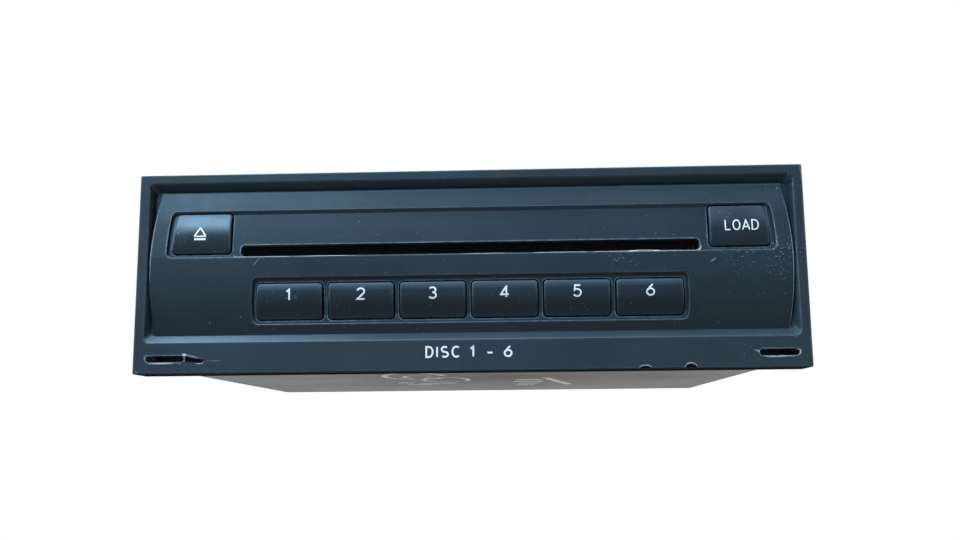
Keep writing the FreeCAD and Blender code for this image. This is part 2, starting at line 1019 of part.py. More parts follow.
def tub_sheet():
    """Bottom, both sides and rear in one folded sheet, with lips along the top of the sides."""
    half = case_width / 2
    outer = block(-half, half, bezel_depth, case_depth, case_floor, case_top - sheet)

    def is_rear_corner(edge):
        box = edge.BoundBox
        return box.ZLength > sheet and box.YMin > inner_rear

    outer = rounded(outer, case_corner, is_rear_corner)
    tub = outer.cut(block(
        -inner_half_width, inner_half_width, 0, inner_rear, inner_floor, case_top + over
    ))
    lip = block(
        inner_half_width - lip_width, inner_half_width + sheet / 2,
        front_plate_y + front_plate_flange + sheet, inner_rear + sheet / 2,
        inner_top - sheet, inner_top,
    )
    return tub.fuse(lip).fuse(mirrored(lip))


def side_hole(y):
    """The boss formed round a threaded hole in the right side, and the hole itself."""
    def along_x(radius, start, end):
        return rod(radius, point(start, y, side_hole_height), point(end, y, side_hole_height))

    inside = inner_half_width - sheet
    boss = along_x(side_hole_boss, inside, case_width / 2 - sheet / 2)
    return boss, along_x(side_hole_radius, inside - over, case_width / 2 + over)


def latch_window():
    """The right latch's window, and the pin that crosses it near its front."""
    x, y = latch_axis()
    low = latch_bottom - latch_window_margin
    high = latch_top + latch_window_margin
    window = block(
        x - latch_window_side, x + latch_window_side, y - latch_window_front,
        latch_front + latch_length + 2 * latch_window_margin, low, high,
    )
    return window, upright(latch_pin_radius, x, y, low - root, high + root)


def through_rear(radius, x, z):
    return rod(radius, point(x, inner_rear - over, z), point(x, case_depth + over, z))


def make_tub():
    """The folded case with formed bosses, latch windows and socket holes."""
    tub = tub_sheet()
    in_floor = case_floor + sheet / 2
    for x, y in damper_places():
        tub = tub.fuse(upright(damper_radius, x, y, in_floor, damper_boss_top))
    for x, y in board_boss_places():
        tub = tub.fuse(upright(board_boss_radius, x, y, in_floor, main_board_z))
    added = []
    holes = []
    for y in (side_hole_front, side_hole_rear):
        boss, hole = side_hole(y)
        added += [boss, mirrored(boss)]
        holes += [hole, mirrored(hole)]
    for boss in added:
        tub = tub.fuse(boss)
    window, pin = latch_window()
    for side_window, side_pin in ((window, pin), (mirrored(window), mirrored(pin))):
        tub = tub.cut(side_window).fuse(side_pin)
    power_hole = power_half_width + hole_play
    holes.append(block(
        -power_hole, power_hole, inner_rear - over, case_depth + over,
        power_bottom - hole_play, power_top + hole_play,
    ))
    for x in jack_places():
        holes.append(through_rear(jack_collar_radius + root, x, jack_height))
    holes.append(through_rear(stud_radius + root, 0, stud_height))
    for x, y in cover_screw_places():
        holes.append(upright(screw_radius + running, x, y, inner_top - 2 * sheet, case_top))
    for hole in holes:
        tub = tub.cut(hole)
    return tub.removeSplitter()


def vent_places():
    return [(place - (vent_count - 1) / 2) * vent_pitch for place in range(vent_count)]


def cover_screw_places():
    x = inner_half_width - screw_inset
    rows = (front_plate_y + screw_front, inner_rear - screw_rear)
    return [(side * x, y) for side in (-1, 1) for y in rows]


def make_cover():
    """The lid: a flat sheet with a pressed ring and two rows of vents."""
    half = case_width / 2
    cover = block(-half, half, bezel_depth, case_depth, inner_top, case_top)
    cover = cover.cut(upright_tube(
        pressed_ring_outer, pressed_ring_inner, 0, disc_centre_y, case_top - pressed_depth, case_top + over
    ))
    for x in vent_places():
        for y in (disc_centre_y - vent_row, disc_centre_y + vent_row):
            cover = cover.cut(block(
                x - vent_width / 2, x + vent_width / 2, y - vent_length / 2, y + vent_length / 2,
                inner_top - over, case_top + over,
            ))
    for x, y in cover_screw_places():
        cover = cover.cut(upright(screw_radius + screw_hole_play, x, y, 0, 2 * case_top))
    return cover.removeSplitter()


def make_case_screws():
    screws = []
    for x, y in cover_screw_places():
        top = case_top + screw_head_height
        head = upright(screw_head_radius, x, y, case_top, top)
        shank = upright(screw_radius, x, y, inner_top - sheet, case_top + root)
        screw = head.fuse(shank)
        for long_x, long_y in ((screw_cross_length, screw_cross), (screw_cross, screw_cross_length)):
            screw = screw.cut(block(
                x - long_x / 2, x + long_x / 2, y - long_y / 2, y + long_y / 2,
                top - screw_cross_depth, top + over,
            ))
        screws.append(screw.removeSplitter())
    return group(screws)


def make_side_latch():
    """The left spring tongue: a knuckle on its pin, a flat blade and a barb that catches the sleeve."""
    x, y = latch_axis()
    tip = latch_front + latch_length
    outer = -x - sheet / 2
    blade = block(outer, -x + sheet / 2, y, tip, latch_bottom, latch_top)
    knuckle = upright(latch_pin_radius + latch_knuckle, -x, y, latch_bottom, latch_top)
    barb_low = latch_bottom + latch_barb_inset
    corners = [
        point(outer + root, tip - latch_barb_length, barb_low),
        point(outer + root, tip, barb_low),
        point(outer - latch_barb, tip, barb_low),
    ]
    barb = raised(corners, point(0, 0, latch_height - 2 * latch_barb_inset))
    bore = upright(latch_pin_radius + running, -x, y, 0, case_top)
    return joined([blade, knuckle, barb]).cut(bore)


def along_y(radius, x, z, start, end):
    return rod(radius, point(x, start, z), point(x, end, z))


def make_stud():
    flange = along_y(stud_flange_radius, 0, stud_height, case_depth, case_depth + stud_flange)
    shank = along_y(stud_radius, 0, stud_height, inner_rear - sheet, case_depth + stud_length)
    return joined([flange, shank])


def make_power_connector():
    """The rear plug's housing with two rows of pins."""
    half = power_half_width
    rear = case_depth + socket_proud
    body = block(-half, half, power_front, rear, power_bottom, power_top)
    body = body.cut(block(
        -half + socket_wall, half - socket_wall, power_front + power_floor, rear + over,
        power_bottom + socket_wall, power_top - socket_wall,
    ))
    pins = []
    middle = (power_bottom + power_top) / 2
    pin_half = power_pin_size / 2
    for z in (middle - power_pin_row, middle + power_pin_row):
        for place in range(power_pins):
            x = (place - (power_pins - 1) / 2) * power_pin_pitch
            pins.append(block(
                x - pin_half, x + pin_half, power_front + power_floor - over, rear - pin_depth,
                z - pin_half, z + pin_half,
            ))
    return joined([body] + pins)


def jack_places():
    return [jack_first_x + place * jack_pitch for place in range(jack_count)]


def make_jacks():
    """Round signal sockets: a body through the rear, an open sleeve and its inner contact."""
    jacks = []
    rear = case_depth + socket_proud
    for x in jack_places():
        body = along_y(
            jack_collar_radius, x, jack_height, inner_rear - jack_inside, case_depth + jack_collar
        )
        sleeve = along_y(jack_radius, x, jack_height, inner_rear, rear)
        bore = along_y(
            jack_radius - jack_wall, x, jack_height, inner_rear + jack_floor, rear + over
        )
        contact = along_y(jack_pin, x, jack_height, inner_rear, rear - jack_wall)
        jacks.append(body.fuse(sleeve).cut(bore).fuse(contact).removeSplitter())
    return group(jacks)


def make_main_board():
    return block(
        -main_board_half_width, main_board_half_width, main_board_front, main_board_rear,
        main_board_z, main_board_z + board_thickness,
    )


def make_board_parts():
    """Two rows of chips and a row of capacitors on the main board, in a plain pattern."""
    top = main_board_z + board_thickness
    parts = []
    for y, size in ((chip_row, chip_size), (small_chip_row, small_chip_size)):
        for x in (-chip_pitch, 0, chip_pitch):
            parts.append(block(
                x - size / 2, x + size / 2, y - size / 2, y + size / 2, top, top + chip_height
            ))
    for place in range(capacitor_count):
        x = (place - (capacitor_count - 1) / 2) * capacitor_pitch
        parts.append(upright(capacitor_radius, x, capacitor_row, top, top + capacitor_height))
    return group(parts)


def gear(teeth, width, bore, phase=0.0):
    """A spur gear on the Z axis, with a tooth centred on the phase angle in degrees."""
    pitch_radius = module * teeth / 2
    base_radius = pitch_radius * math.cos(math.radians(pressure_angle))
    tip_radius = pitch_radius + addendum * module
    root_radius = pitch_radius - dedendum * module
    half_tooth = (math.pi * module / 2 - backlash) / (2 * pitch_radius)
    inv_pressure = math.tan(math.radians(pressure_angle)) - math.radians(pressure_angle)

    def half_angle(radius):
        if radius <= base_radius:
            return half_tooth + inv_pressure
        angle = math.acos(base_radius / radius)
        return half_tooth + inv_pressure - (math.tan(angle) - angle)

    start = max(base_radius, root_radius + running)
    steps = flank_steps
    radii = [start + (tip_radius - start) * step / steps for step in range(steps + 1)]
    corners = []
    for tooth in range(teeth):
        middle = math.radians(phase) + 2 * math.pi * tooth / teeth
        flank = [(root_radius, half_angle(start))] + [(radius, half_angle(radius)) for radius in radii]
        for radius, half in flank:
            corners.append((radius, middle - half))
        for radius, half in reversed(flank):
            corners.append((radius, middle + half))
    outline = [point(radius * math.cos(a), radius * math.sin(a), 0) for radius, a in corners]
    wheel = raised(outline, point(0, 0, width))
    if bore:
        wheel = wheel.cut(upright(bore, 0, 0, -over, width + over))
    return wheel


def rack_pitch():
    return math.pi * module


def rack(pitch_x, y0, y1, z0, first_gap):
    """A rack along Y whose teeth point to -X, with a gap centred at the given y."""
    slope = math.tan(math.radians(pressure_angle))
    half_tooth = (rack_pitch() / 2 - backlash) / 2
    tip_x = pitch_x - addendum * module
    root_x = pitch_x + dedendum * module
    tip_half = half_tooth - addendum * module * slope
    root_half = half_tooth + dedendum * module * slope
    first = math.ceil((y0 - first_gap) / rack_pitch() + 1)
    last = math.floor((y1 - first_gap) / rack_pitch() - 1)
    corners = [point(root_x + rack_back, y0, z0), point(root_x, y0, z0)]
    for place in range(first, last):
        middle = first_gap + (place + 0.5) * rack_pitch()
        corners.append(point(root_x, middle - root_half, z0))
        corners.append(point(tip_x, middle - tip_half, z0))
        corners.append(point(tip_x, middle + tip_half, z0))
        corners.append(point(root_x, middle + root_half, z0))
    corners.append(point(root_x, y1, z0))
    corners.append(point(root_x + rack_back, y1, z0))
    return raised(corners, point(0, 0, rack_height))


def phase_on_rack(gear_y, gap_y, radius):
    """The angle of the tooth that sits in the rack's gap nearest to a gear."""
    offset = (gap_y - gear_y) % rack_pitch()
    if offset > rack_pitch() / 2:
        offset -= rack_pitch()
    return math.degrees(offset / radius)


def placed(shape, x, y, z):
    moved = shape.copy()
    moved.translate(point(x, y, z))
    return moved


def turned_to_x(shape):
    """A shape made along Z, turned so that its axis lies along X."""
    turned = shape.copy()
    turned.rotate(point(0, 0, 0), point(0, 1, 0), 90)
    return turned


def through_base(radius, x, y):
    return upright(radius, x, y, base_z - over, base_top + over)


def make_base():
    """The mechanism's base plate, with roller brackets, pivot post, guide post and motor pillars."""
    base = block(-base_half_width, base_half_width, base_front, base_rear, base_z, base_top)
    base = base.cut(through_base(base_hole_radius, 0, disc_centre_y))
    base = base.cut(block(
        -base_notch_half_width, base_notch_half_width, base_notch_front, base_rear + over,
        base_z - over, base_top + over,
    ))
    bracket = block(
        bracket_x, bracket_x + base_thickness, bracket_front, bracket_rear, base_z, bracket_top
    )
    base = base.fuse(bracket).fuse(mirrored(bracket))
    shaft_hole = rod(
        roller_shaft_radius + running, point(-base_half_width, roller_y, roller_z),
        point(base_half_width, roller_y, roller_z),
    )
    motor_hole = rod(
        motor_shaft_radius + shaft_hole_play, point(0, load_motor_y, load_motor_z),
        point(base_half_width, load_motor_y, load_motor_z),
    )
    base = base.cut(shaft_hole).cut(motor_hole)
    base = base.fuse(upright(post_radius, pivot_x, pivot_world_y, base_z, arm_hub_top + post_rise))
    base = base.fuse(upright(
        guide_post_radius, guide_post_x, disc_centre_y + guide_post_y, base_z, top_z
    ))
    pillar_x = lift_pinion_x - pillar_offset
    for y in (lift_motor_y - pillar_offset, lift_motor_y + pillar_offset):
        base = base.fuse(upright(pillar_radius, pillar_x, y, base_z, gear_z + gear_width + axial_gap))
    for x, y in damper_places():
        base = base.cut(through_base(damper_bore, x, y))
    for y in (screw_front_y, screw_rear_y):
        base = base.cut(through_base(screw_journal + running, lift_screw_x, y))
    return base.removeSplitter()


def make_top_plate():
    """The mechanism's upper plate on four folded legs, with bearings for the lift screws."""
    half = base_half_width + leg_outset
    top = top_z + top_thickness
    plate = block(-half, half, top_front, base_rear, top_z, top)
    plate = plate.cut(upright(base_hole_radius, 0, disc_centre_y, top_z - over, top + over))
    legs = []
    for y in (leg_front_y, leg_rear_y):
        legs.append(block(half - top_thickness, half, y, y + leg_width, base_top, top))
    legs.append(block(-half, -half + leg_width, top_front, top_front + top_thickness, base_top, top))
    rear_x = guide_post_x - 2 * leg_width
    legs.append(block(rear_x, rear_x + leg_width, base_rear - top_thickness, base_rear, base_top, top))
    for leg in legs:
        plate = plate.fuse(leg)
    for y in (screw_front_y, screw_rear_y):
        plate = plate.cut(upright(screw_journal + running, lift_screw_x, y, top_z - over, top + over))
    return plate.removeSplitter()


def make_dampers():
    return group([
        upright_tube(damper_radius, damper_bore, x, y, damper_boss_top, base_z)
        for x, y in damper_places()
    ])


def tray_z(number):
    """The underside of a tray in the closed stack; tray 1 is on top."""
    stack_low = slot_centre - tray_count / 2 * tray_pitch + (tray_pitch - tray_thickness) / 2
    return stack_low + (tray_count - number) * tray_pitch


def ear(x, y, hole):
    """A tray's ear: a bar from the ring out to a round eye."""
    reach = math.hypot(x, y)
    bar = block(tray_outer - 2 * tray_rim, reach, -ear_bar, ear_bar, 0, tray_thickness)
    bar.rotate(point(0, 0, 0), point(0, 0, 1), math.degrees(math.atan2(y, x)))
    eye = upright(ear_radius, x, y, 0, tray_thickness)
    return bar.fuse(eye), upright(hole, x, y, -over, tray_thickness + over)


def make_tray(number):
    """A crescent that carries a disc by its edge, open to the left for the pickup arm."""
    ring = Part.makeCylinder(
        tray_outer, tray_thickness, point(0, 0, 0), point(0, 0, 1), 2 * tray_half_angle
    )
    ring.rotate(point(0, 0, 0), point(0, 0, 1), -tray_half_angle)
    shape = ring
    holes = [upright(tray_inner, 0, 0, -over, tray_thickness + over)]
    eyes = (
        ear(lift_screw_x, lift_screw_front, lift_screw_radius + slide_clearance),
        ear(lift_screw_x, lift_screw_rear, lift_screw_radius + slide_clearance),
        ear(guide_post_x, guide_post_y, guide_post_radius + slide_clearance),
    )
    for solid, hole in eyes:
        shape = shape.fuse(solid)
        holes.append(hole)
    holes.append(upright(
        tray_recess_radius, 0, 0, tray_thickness - tray_recess, tray_thickness + over
    ))
    for hole in holes:
        shape = shape.cut(hole)
    shape = shape.removeSplitter()
    return placed(shape, 0, disc_centre_y, tray_z(number))


def make_lift_screw(y):
    """A lead screw with its gear; journals at both ends run in the two plates."""
    phase = phase_on_rack(y, screw_front_y, lift_gear_radius)
    wheel = placed(gear(lift_teeth, gear_width, 0, phase), lift_screw_x, y, gear_z)
    shaft = upright(lift_screw_radius, lift_screw_x, y, gear_z, top_z - axial_gap)
    lower = upright(screw_journal, lift_screw_x, y, base_z, gear_z)
    upper = upright(
        screw_journal, lift_screw_x, y, top_z - axial_gap - root, top_z + top_thickness
    )
    return joined([wheel, shaft, lower, upper])


def make_side_rack():
    start = screw_front_y - rack_end
    end = screw_rear_y + rack_end + rack_travel
    return rack(rack_line_x, start, end, gear_z, screw_front_y)


def can_motor(radius, length):
    """A small motor standing on Z = 0, with the nose of its bearing on top."""
    can = upright(radius, 0, 0, 0, length)
    return can.fuse(upright(radius * motor_nose_share, 0, 0, length, length + motor_nose))


def make_lift_motor():
    low = gear_z + gear_width + axial_gap
    motor = can_motor(lift_motor_radius, lift_motor_height)
    return placed(motor, lift_pinion_x, lift_motor_y, low)


def make_lift_pinion():
    phase = phase_on_rack(lift_motor_y, screw_front_y, pinion_radius)
    wheel = gear(pinion_teeth, gear_width, 0, phase)
    shaft = upright(motor_shaft_radius, 0, 0, -hole_play, gear_width + hole_play)
    return placed(wheel.fuse(shaft), lift_pinion_x, lift_motor_y, gear_z)


def make_arm_motor():
    motor = can_motor(arm_motor_radius, arm_gear_z - axial_gap - base_top - motor_nose)
    return placed(motor, arm_motor_x, arm_motor_y, base_top)


def make_arm_pinion():
    facing = arm_motor_angle + 180 + 180 / pinion_teeth
    wheel = gear(pinion_teeth, gear_width, 0, facing)
    return placed(wheel, arm_motor_x, arm_motor_y, arm_gear_z)


def arm_outline(grow, z0, z1):
    """The arm's plan: round at the spindle, straight sides, narrowing to the pivot."""
    tip = upright(arm_tip_radius + grow, pivot_x, spindle_y, z0, z1)
    half = arm_half_width + grow
    neck_y = pivot_world_y - arm_boss_radius - arm_neck
    body = block(pivot_x - half, pivot_x + half, spindle_y, neck_y, z0, z1)
    neck_corners = [
        point(pivot_x - half, neck_y - root, z0),
        point(pivot_x + half, neck_y - root, z0),
        point(pivot_x + arm_boss_radius, pivot_world_y, z0),
        point(pivot_x - arm_boss_radius, pivot_world_y, z0),
    ]
    neck = raised(neck_corners, point(0, 0, z1 - z0))
    return joined([tip, body, neck])


def rod_places():
    return spindle_y + turntable_radius + axial_gap, pivot_world_y - rod_tail


def beside_arm(offset, radius, start, end):
    """A round bar along the arm, at the height of its guide rods."""
    return along_y(radius, pivot_x + offset, rod_z, start, end)


def arm_walls():
    """The arm's two side flanges and the two walls that hold the guide rods."""
    front, rear = rod_places()
    walls = []
    for side in (-1, 1):
        middle = pivot_x + side * (arm_half_width - arm_plate / 2)
        walls.append(block(
            middle - arm_plate / 2, middle + arm_plate / 2, front, rear + arm_flange_tail,
            arm_z, arm_z + arm_flange_height,
        ))
    half = arm_half_width - arm_plate / 2
    for y in (front, rear):
        walls.append(block(
            pivot_x - half, pivot_x + half, y, y + rod_wall, arm_z, rod_z + rod_wall_rise
        ))
    return walls


def make_arm():
    """The lower arm: plate, side flanges, rod walls, hub round the pivot post and its gear."""
    shape = arm_outline(0, arm_z, arm_z + arm_plate)
    for wall in arm_walls():
        shape = shape.fuse(wall)
    shape = shape.fuse(upright(arm_boss_radius, pivot_x, pivot_world_y, arm_gear_z, arm_hub_top))
    wheel = gear(arm_teeth, gear_width, 0, arm_motor_angle)
    shape = shape.fuse(placed(wheel, pivot_x, pivot_world_y, arm_gear_z))
    shape = shape.cut(upright(post_radius + running, pivot_x, pivot_world_y, 0, case_top))
    front, rear = rod_places()
    front_end = front - over
    rear_end = rear + rod_wall + over
    motor_start = rear + rod_wall
    holes = [
        beside_arm(
            screw_offset, sled_motor_radius + axial_gap, motor_start,
            motor_start + sled_motor_length + 2 * axial_gap,
        ),
        beside_arm(-rod_offset, rod_radius, front_end, rear_end),
        beside_arm(rod_offset, rod_radius, front_end, rear_end),
        beside_arm(screw_offset, sled_screw_radius + running, front_end, rear_end),
    ]
    for hole in holes:
        shape = shape.cut(hole)
    return shape.removeSplitter()


def make_guide_rods():
    front, rear = rod_places()
    return group([
        beside_arm(offset, rod_radius, front, rear + rod_wall) for offset in (-rod_offset, rod_offset)
    ])


def make_spindle_motor():
    low = arm_z + arm_plate
    return upright(spindle_motor_radius, pivot_x, spindle_y, low, low + spindle_motor_height)


def make_turntable():
    low = arm_z + arm_plate + spindle_motor_height + axial_gap
    plate = upright(turntable_radius, pivot_x, spindle_y, low, disc_bottom)
    hub_top = disc_bottom + hub_height
    hub = upright(hub_radius, pivot_x, spindle_y, disc_bottom - root, hub_top)
    top_edges = [edge for edge in hub.Edges if edge.BoundBox.ZMin > hub_top - root]
    return plate.fuse(hub.makeChamfer(hub_chamfer, top_edges)).removeSplitter()


def make_clamp_plate():
    """The upper arm: it slides on the pivot hub to press the clamper on a disc."""
    low = disc_top + clamp_travel + clamper_thickness + axial_gap
    high = low + clamp_plate
    plate = arm_outline(-clamp_inset, low, high)
    plate = plate.fuse(upright(
        arm_boss_radius + clamp_collar, pivot_x, pivot_world_y, low - clamp_plate, high
    ))
    plate = plate.cut(upright(arm_boss_radius + slide_clearance, pivot_x, pivot_world_y, 0, case_top))
    plate = plate.cut(upright(clamper_neck + clamper_play, pivot_x, spindle_y, 0, case_top))
    return plate.removeSplitter()


def make_clamper():
    """A flanged puck that hangs loosely in the clamp plate's hole."""
    low = disc_top + clamp_travel
    puck_top = low + clamper_thickness
    neck_top = puck_top + axial_gap + clamp_plate + root
    shape = joined([
        upright(clamper_radius, pivot_x, spindle_y, low, puck_top),
        upright(clamper_neck, pivot_x, spindle_y, low, neck_top),
        upright(clamper_cap_radius, pivot_x, spindle_y, neck_top, neck_top + clamper_cap),
    ])
    relief = upright(
        hub_radius + clamper_play, pivot_x, spindle_y, low - over, low + clamper_thickness / 2
    )
    return shape.cut(relief)


def sled_low():
    return arm_z + arm_plate + axial_gap


def make_sled():
    """The pickup's sled: it slides on the two guide rods."""
    x0 = pivot_x - sled_half_width
    x1 = pivot_x + sled_half_width
    y0 = spindle_y + read_inner - sled_length / 2
    y1 = y0 + sled_length
    low = sled_low()
    high = low + sled_height
    body = block(x0, x1, y0, y1, low, high)
    body = body.cut(block(
        x0 + sled_waist_side, x1 - sled_waist_side, y0 - over, y0 + sled_waist, low - over, high + over
    ))
    for offset in (-rod_offset, rod_offset):
        body = body.cut(beside_arm(offset, rod_radius + running, y0 - over, y1 + over))
    return body.cut(beside_arm(screw_offset, sled_screw_radius + slide_clearance, y0 - over, y1 + over))


def make_lens():
    low = sled_low() + sled_height
    return upright(lens_radius, pivot_x, spindle_y + read_inner, low, low + lens_height)


def make_sled_screw():
    front, rear = rod_places()
    return beside_arm(screw_offset, sled_screw_radius, front, rear + rod_wall + axial_gap)


def make_sled_motor():
    front, rear = rod_places()
    start = rear + rod_wall + axial_gap
    return beside_arm(screw_offset, sled_motor_radius, start, start + sled_motor_length)


def make_roller_shaft():
    left = -bracket_x - 2 * roller_shaft_radius
    right = gear_x + gear_width + shaft_end
    return rod(roller_shaft_radius, point(left, roller_y, roller_z), point(right, roller_y, roller_z))


def make_roller():
    start = point(-roller_half_length, roller_y, roller_z)
    end = point(roller_half_length, roller_y, roller_z)
    waist = roller_waist
    middle = point(0, roller_y, roller_z)
    left = Part.makeCone(
        roller_radius, roller_radius - waist, roller_half_length, start, point(1, 0, 0)
    )
    right = Part.makeCone(
        roller_radius - waist, roller_radius, roller_half_length, middle, point(1, 0, 0)
    )
    return left.fuse(right).cut(rod(roller_shaft_radius, start, end))


def wheel_on_x(teeth, bore, phase, y, z):
    wheel = turned_to_x(gear(teeth, gear_width, bore, phase))
    return placed(wheel, gear_x, y, z)


def make_roller_gear():
    return wheel_on_x(
        roller_teeth, roller_shaft_radius, tooth_towards(load_motor_angle, 0), roller_y, roller_z
    )


def tooth_towards(angle, offset):
    """After the turn to X, a wheel's own angle a points to +Y sin a and -Z cos a."""
    direction = math.radians(angle)
    return math.degrees(math.atan2(math.cos(direction), -math.sin(direction))) + offset


def make_load_pinion():
    phase = tooth_towards(load_motor_angle + 180, 180 / pinion_teeth)
    wheel = wheel_on_x(pinion_teeth, 0, phase, load_motor_y, load_motor_z)
    shaft = rod(
        motor_shaft_radius, point(bracket_x - hole_play, load_motor_y, load_motor_z),
        point(gear_x + shaft_end, load_motor_y, load_motor_z),
    )
    return wheel.fuse(shaft).removeSplitter()


def make_load_motor():
    end = point(bracket_x - axial_gap, load_motor_y, load_motor_z)
    return rod(load_motor_radius, end.sub(point(load_motor_length, 0, 0)), end)


def make_disc_guide():
    low = disc_top + guide_gap
    return block(-bracket_x, bracket_x, bracket_front, guide_rear, low, low + guide_thickness)


def save(name, shape):
    moved = placed(shape, 0, -whole_depth / 2, 0)
    moved.exportStep("parts/" + name + ".step")
    print(name, len(moved.Solids), round(moved.Volume, 1), moved.isValid())


def main():
    os.makedirs("parts", exist_ok=True)
    save("bezel", make_bezel())
    eject = make_eject_button()
    save("eject_button", eject)
    save("load_button", mirrored(eject))
    for place in range(button_count):
        save("disc_button_%d" % (place + 1), make_disc_button(place))
    save("front_board", make_front_board())
    save("push_switches", make_switches())
    save("front_lamps", make_lamps())
    save("flat_cable", make_flat_cable())
    save("dust_shutter", make_shutter())
    save("shutter_spring", make_shutter_spring())
    save("slot_felts", make_felts())
    save("front_plate", make_front_plate())
    save("case_tub", make_tub())
    save("top_cover", make_cover())
    save("case_screws", make_case_screws())
    latch = make_side_latch()
    save("side_latch_left", latch)
    save("side_latch_right", mirrored(latch))
    save("rear_stud", make_stud())
    save("power_connector", make_power_connector())
    save("picture_jacks", make_jacks())
    save("main_board", make_main_board())
    save("board_parts", make_board_parts())
    save("mechanism_base", make_base())
    save("mechanism_top", make_top_plate())
    save("rubber_dampers", make_dampers())
    for number in range(1, tray_count + 1):
        save("disc_tray_%d" % number, make_tray(number))
    save("lift_screw_front", make_lift_screw(screw_front_y))
    save("lift_screw_rear", make_lift_screw(screw_rear_y))
    save("side_rack", make_side_rack())
    save("lift_motor", make_lift_motor())
    save("lift_motor_gear", make_lift_pinion())
    save("pickup_arm", make_arm())
    save("arm_motor", make_arm_motor())
    save("arm_motor_gear", make_arm_pinion())
    save("clamp_plate", make_clamp_plate())
    save("clamper", make_clamper())
    save("spindle_motor", make_spindle_motor())
    save("turntable", make_turntable())
    save("pickup_sled", make_sled())
    save("objective_lens", make_lens())
    save("guide_rods", make_guide_rods())
    save("sled_screw", make_sled_screw())
    save("sled_motor", make_sled_motor())
    save("roller_shaft", make_roller_shaft())
    save("loading_roller", make_roller())
    save("roller_gear", make_roller_gear())
    save("load_motor", make_load_motor())
    save("load_motor_gear", make_load_pinion())
    save("disc_guide", make_disc_guide())


main()
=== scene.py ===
"""Looks of a car disc changer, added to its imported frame.

Lengths are metres in the frame's axes: X to the right, Y from the front to the rear, Z up. Values
that are multiplied by MM are millimetres. So are places on the front, which are (across, down) from
the bezel's left edge and its top.
"""

import json
import math

import bmesh
import bpy
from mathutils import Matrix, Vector
from mathutils.bvhtree import BVHTree


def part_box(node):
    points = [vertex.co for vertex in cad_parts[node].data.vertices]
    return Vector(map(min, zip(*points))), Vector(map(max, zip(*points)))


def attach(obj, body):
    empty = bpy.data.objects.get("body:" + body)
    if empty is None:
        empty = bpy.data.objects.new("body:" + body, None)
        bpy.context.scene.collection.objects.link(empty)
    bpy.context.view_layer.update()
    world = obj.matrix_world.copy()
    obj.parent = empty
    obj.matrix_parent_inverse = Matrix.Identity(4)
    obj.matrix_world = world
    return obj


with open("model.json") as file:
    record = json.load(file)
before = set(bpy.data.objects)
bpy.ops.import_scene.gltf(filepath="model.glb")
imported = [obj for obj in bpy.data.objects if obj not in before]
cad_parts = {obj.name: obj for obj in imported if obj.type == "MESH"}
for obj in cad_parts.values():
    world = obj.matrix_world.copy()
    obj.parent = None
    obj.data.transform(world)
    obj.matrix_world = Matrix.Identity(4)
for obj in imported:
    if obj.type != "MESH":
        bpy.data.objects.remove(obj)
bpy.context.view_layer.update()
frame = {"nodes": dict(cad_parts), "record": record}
scene = bpy.context.scene
nodes = frame["nodes"]

MM = 0.001
bezel_low, bezel_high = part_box("bezel")
front_y = bezel_low.y
face_width = (bezel_high.x - bezel_low.x) / MM
tub_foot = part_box("case_tub")[0].z
case_body = "case"

# Camera: its turn is in degrees
camera_place = (0.01293, -0.36925, -0.01749)
camera_turn = (99.26, 0.523, 2.065)
camera_lens = 37.97
camera_sensor = 36.0
camera_nearest = 0.01

# Light: square lamps that face the object, each with its side and its power
key_place = (-0.16, -0.27, 0.98)
key_size = 0.5
key_power = 11.0
key_colour = (0.84, 0.93, 1.0)
rim_place = (-0.35, 0.30, 0.85)
rim_size = 0.8
rim_power = 14.0
left_place = (-1.0, -0.15, 0.35)
left_size = 0.5
left_power = 6.0
right_place = (1.0, -0.20, 0.30)
right_size = 0.5
right_power = 3.0
front_place = (-0.38, -0.78, 0.60)
front_size = 0.32
front_power = 7.8
front_colour = (0.62, 0.84, 1.0)
under_place = (0.0, 0.25, -0.80)
under_size = 0.8
under_power = 3.4
ambient_strength = 0.12
ambient_colour = (0.93, 0.97, 1.0)
white = (1.0, 1.0, 1.0)
floor_size = 1.6
floor_colour = (0.9, 0.9, 0.9)
floor_shade = 0.985
floor_cloud = 200.0
floor_roughness = 0.9

# Colours of clean surfaces
bezel_dark = (0.020, 0.034, 0.044)
bezel_light = (0.027, 0.045, 0.058)
button_dark = (0.013, 0.022, 0.031)
button_light = (0.018, 0.030, 0.041)
print_colour = (0.93, 0.96, 1.0)
clean_tint = (0.60, 0.80, 1.0)
clean_gloss = 0.22
board_dark = (0.010, 0.060, 0.022)
board_light = (0.012, 0.075, 0.028)
track_colour = (0.03, 0.15, 0.06)
solder_colour = (0.35, 0.35, 0.34)
felt_dark = (0.004, 0.004, 0.005)
felt_light = (0.03, 0.03, 0.033)
lens_blue = (0.45, 0.50, 0.85)
lens_violet = (0.60, 0.50, 0.80)
film_colour = (0.70, 0.70, 0.66)
conductor_colour = (0.40, 0.38, 0.34)

# Colours of worn and dirty surfaces, and of painted light and shade; the second of a pair is where
# the first has faded
# Worn edges, partly a painted highlight
edge_wear_and_highlight_colour = (0.30, 0.42, 0.54)
wear_colour = (0.17, 0.25, 0.34)
speck_colour = (0.46, 0.55, 0.60)
# Dust, and a painted highlight on faces that lean back
dust_and_highlight_colour = (0.090, 0.138, 0.175)
# A painted reflection: a pale patch on the foot's left end, on faces that look up
painted_reflection_colour = (0.15, 0.22, 0.30)
# Painted light on faces that look down
painted_underside_light_colour = (0.06, 0.11, 0.14)
scuff_colour = (0.90, 0.90, 0.88)
scuff_faded = (0.30, 0.30, 0.29)
# Painted shade: under overhangs, along the foot, in the torn key slot and in the bites
painted_shade_colour = (0.002, 0.003, 0.004)
painted_shade_faded = (0.004, 0.005, 0.006)
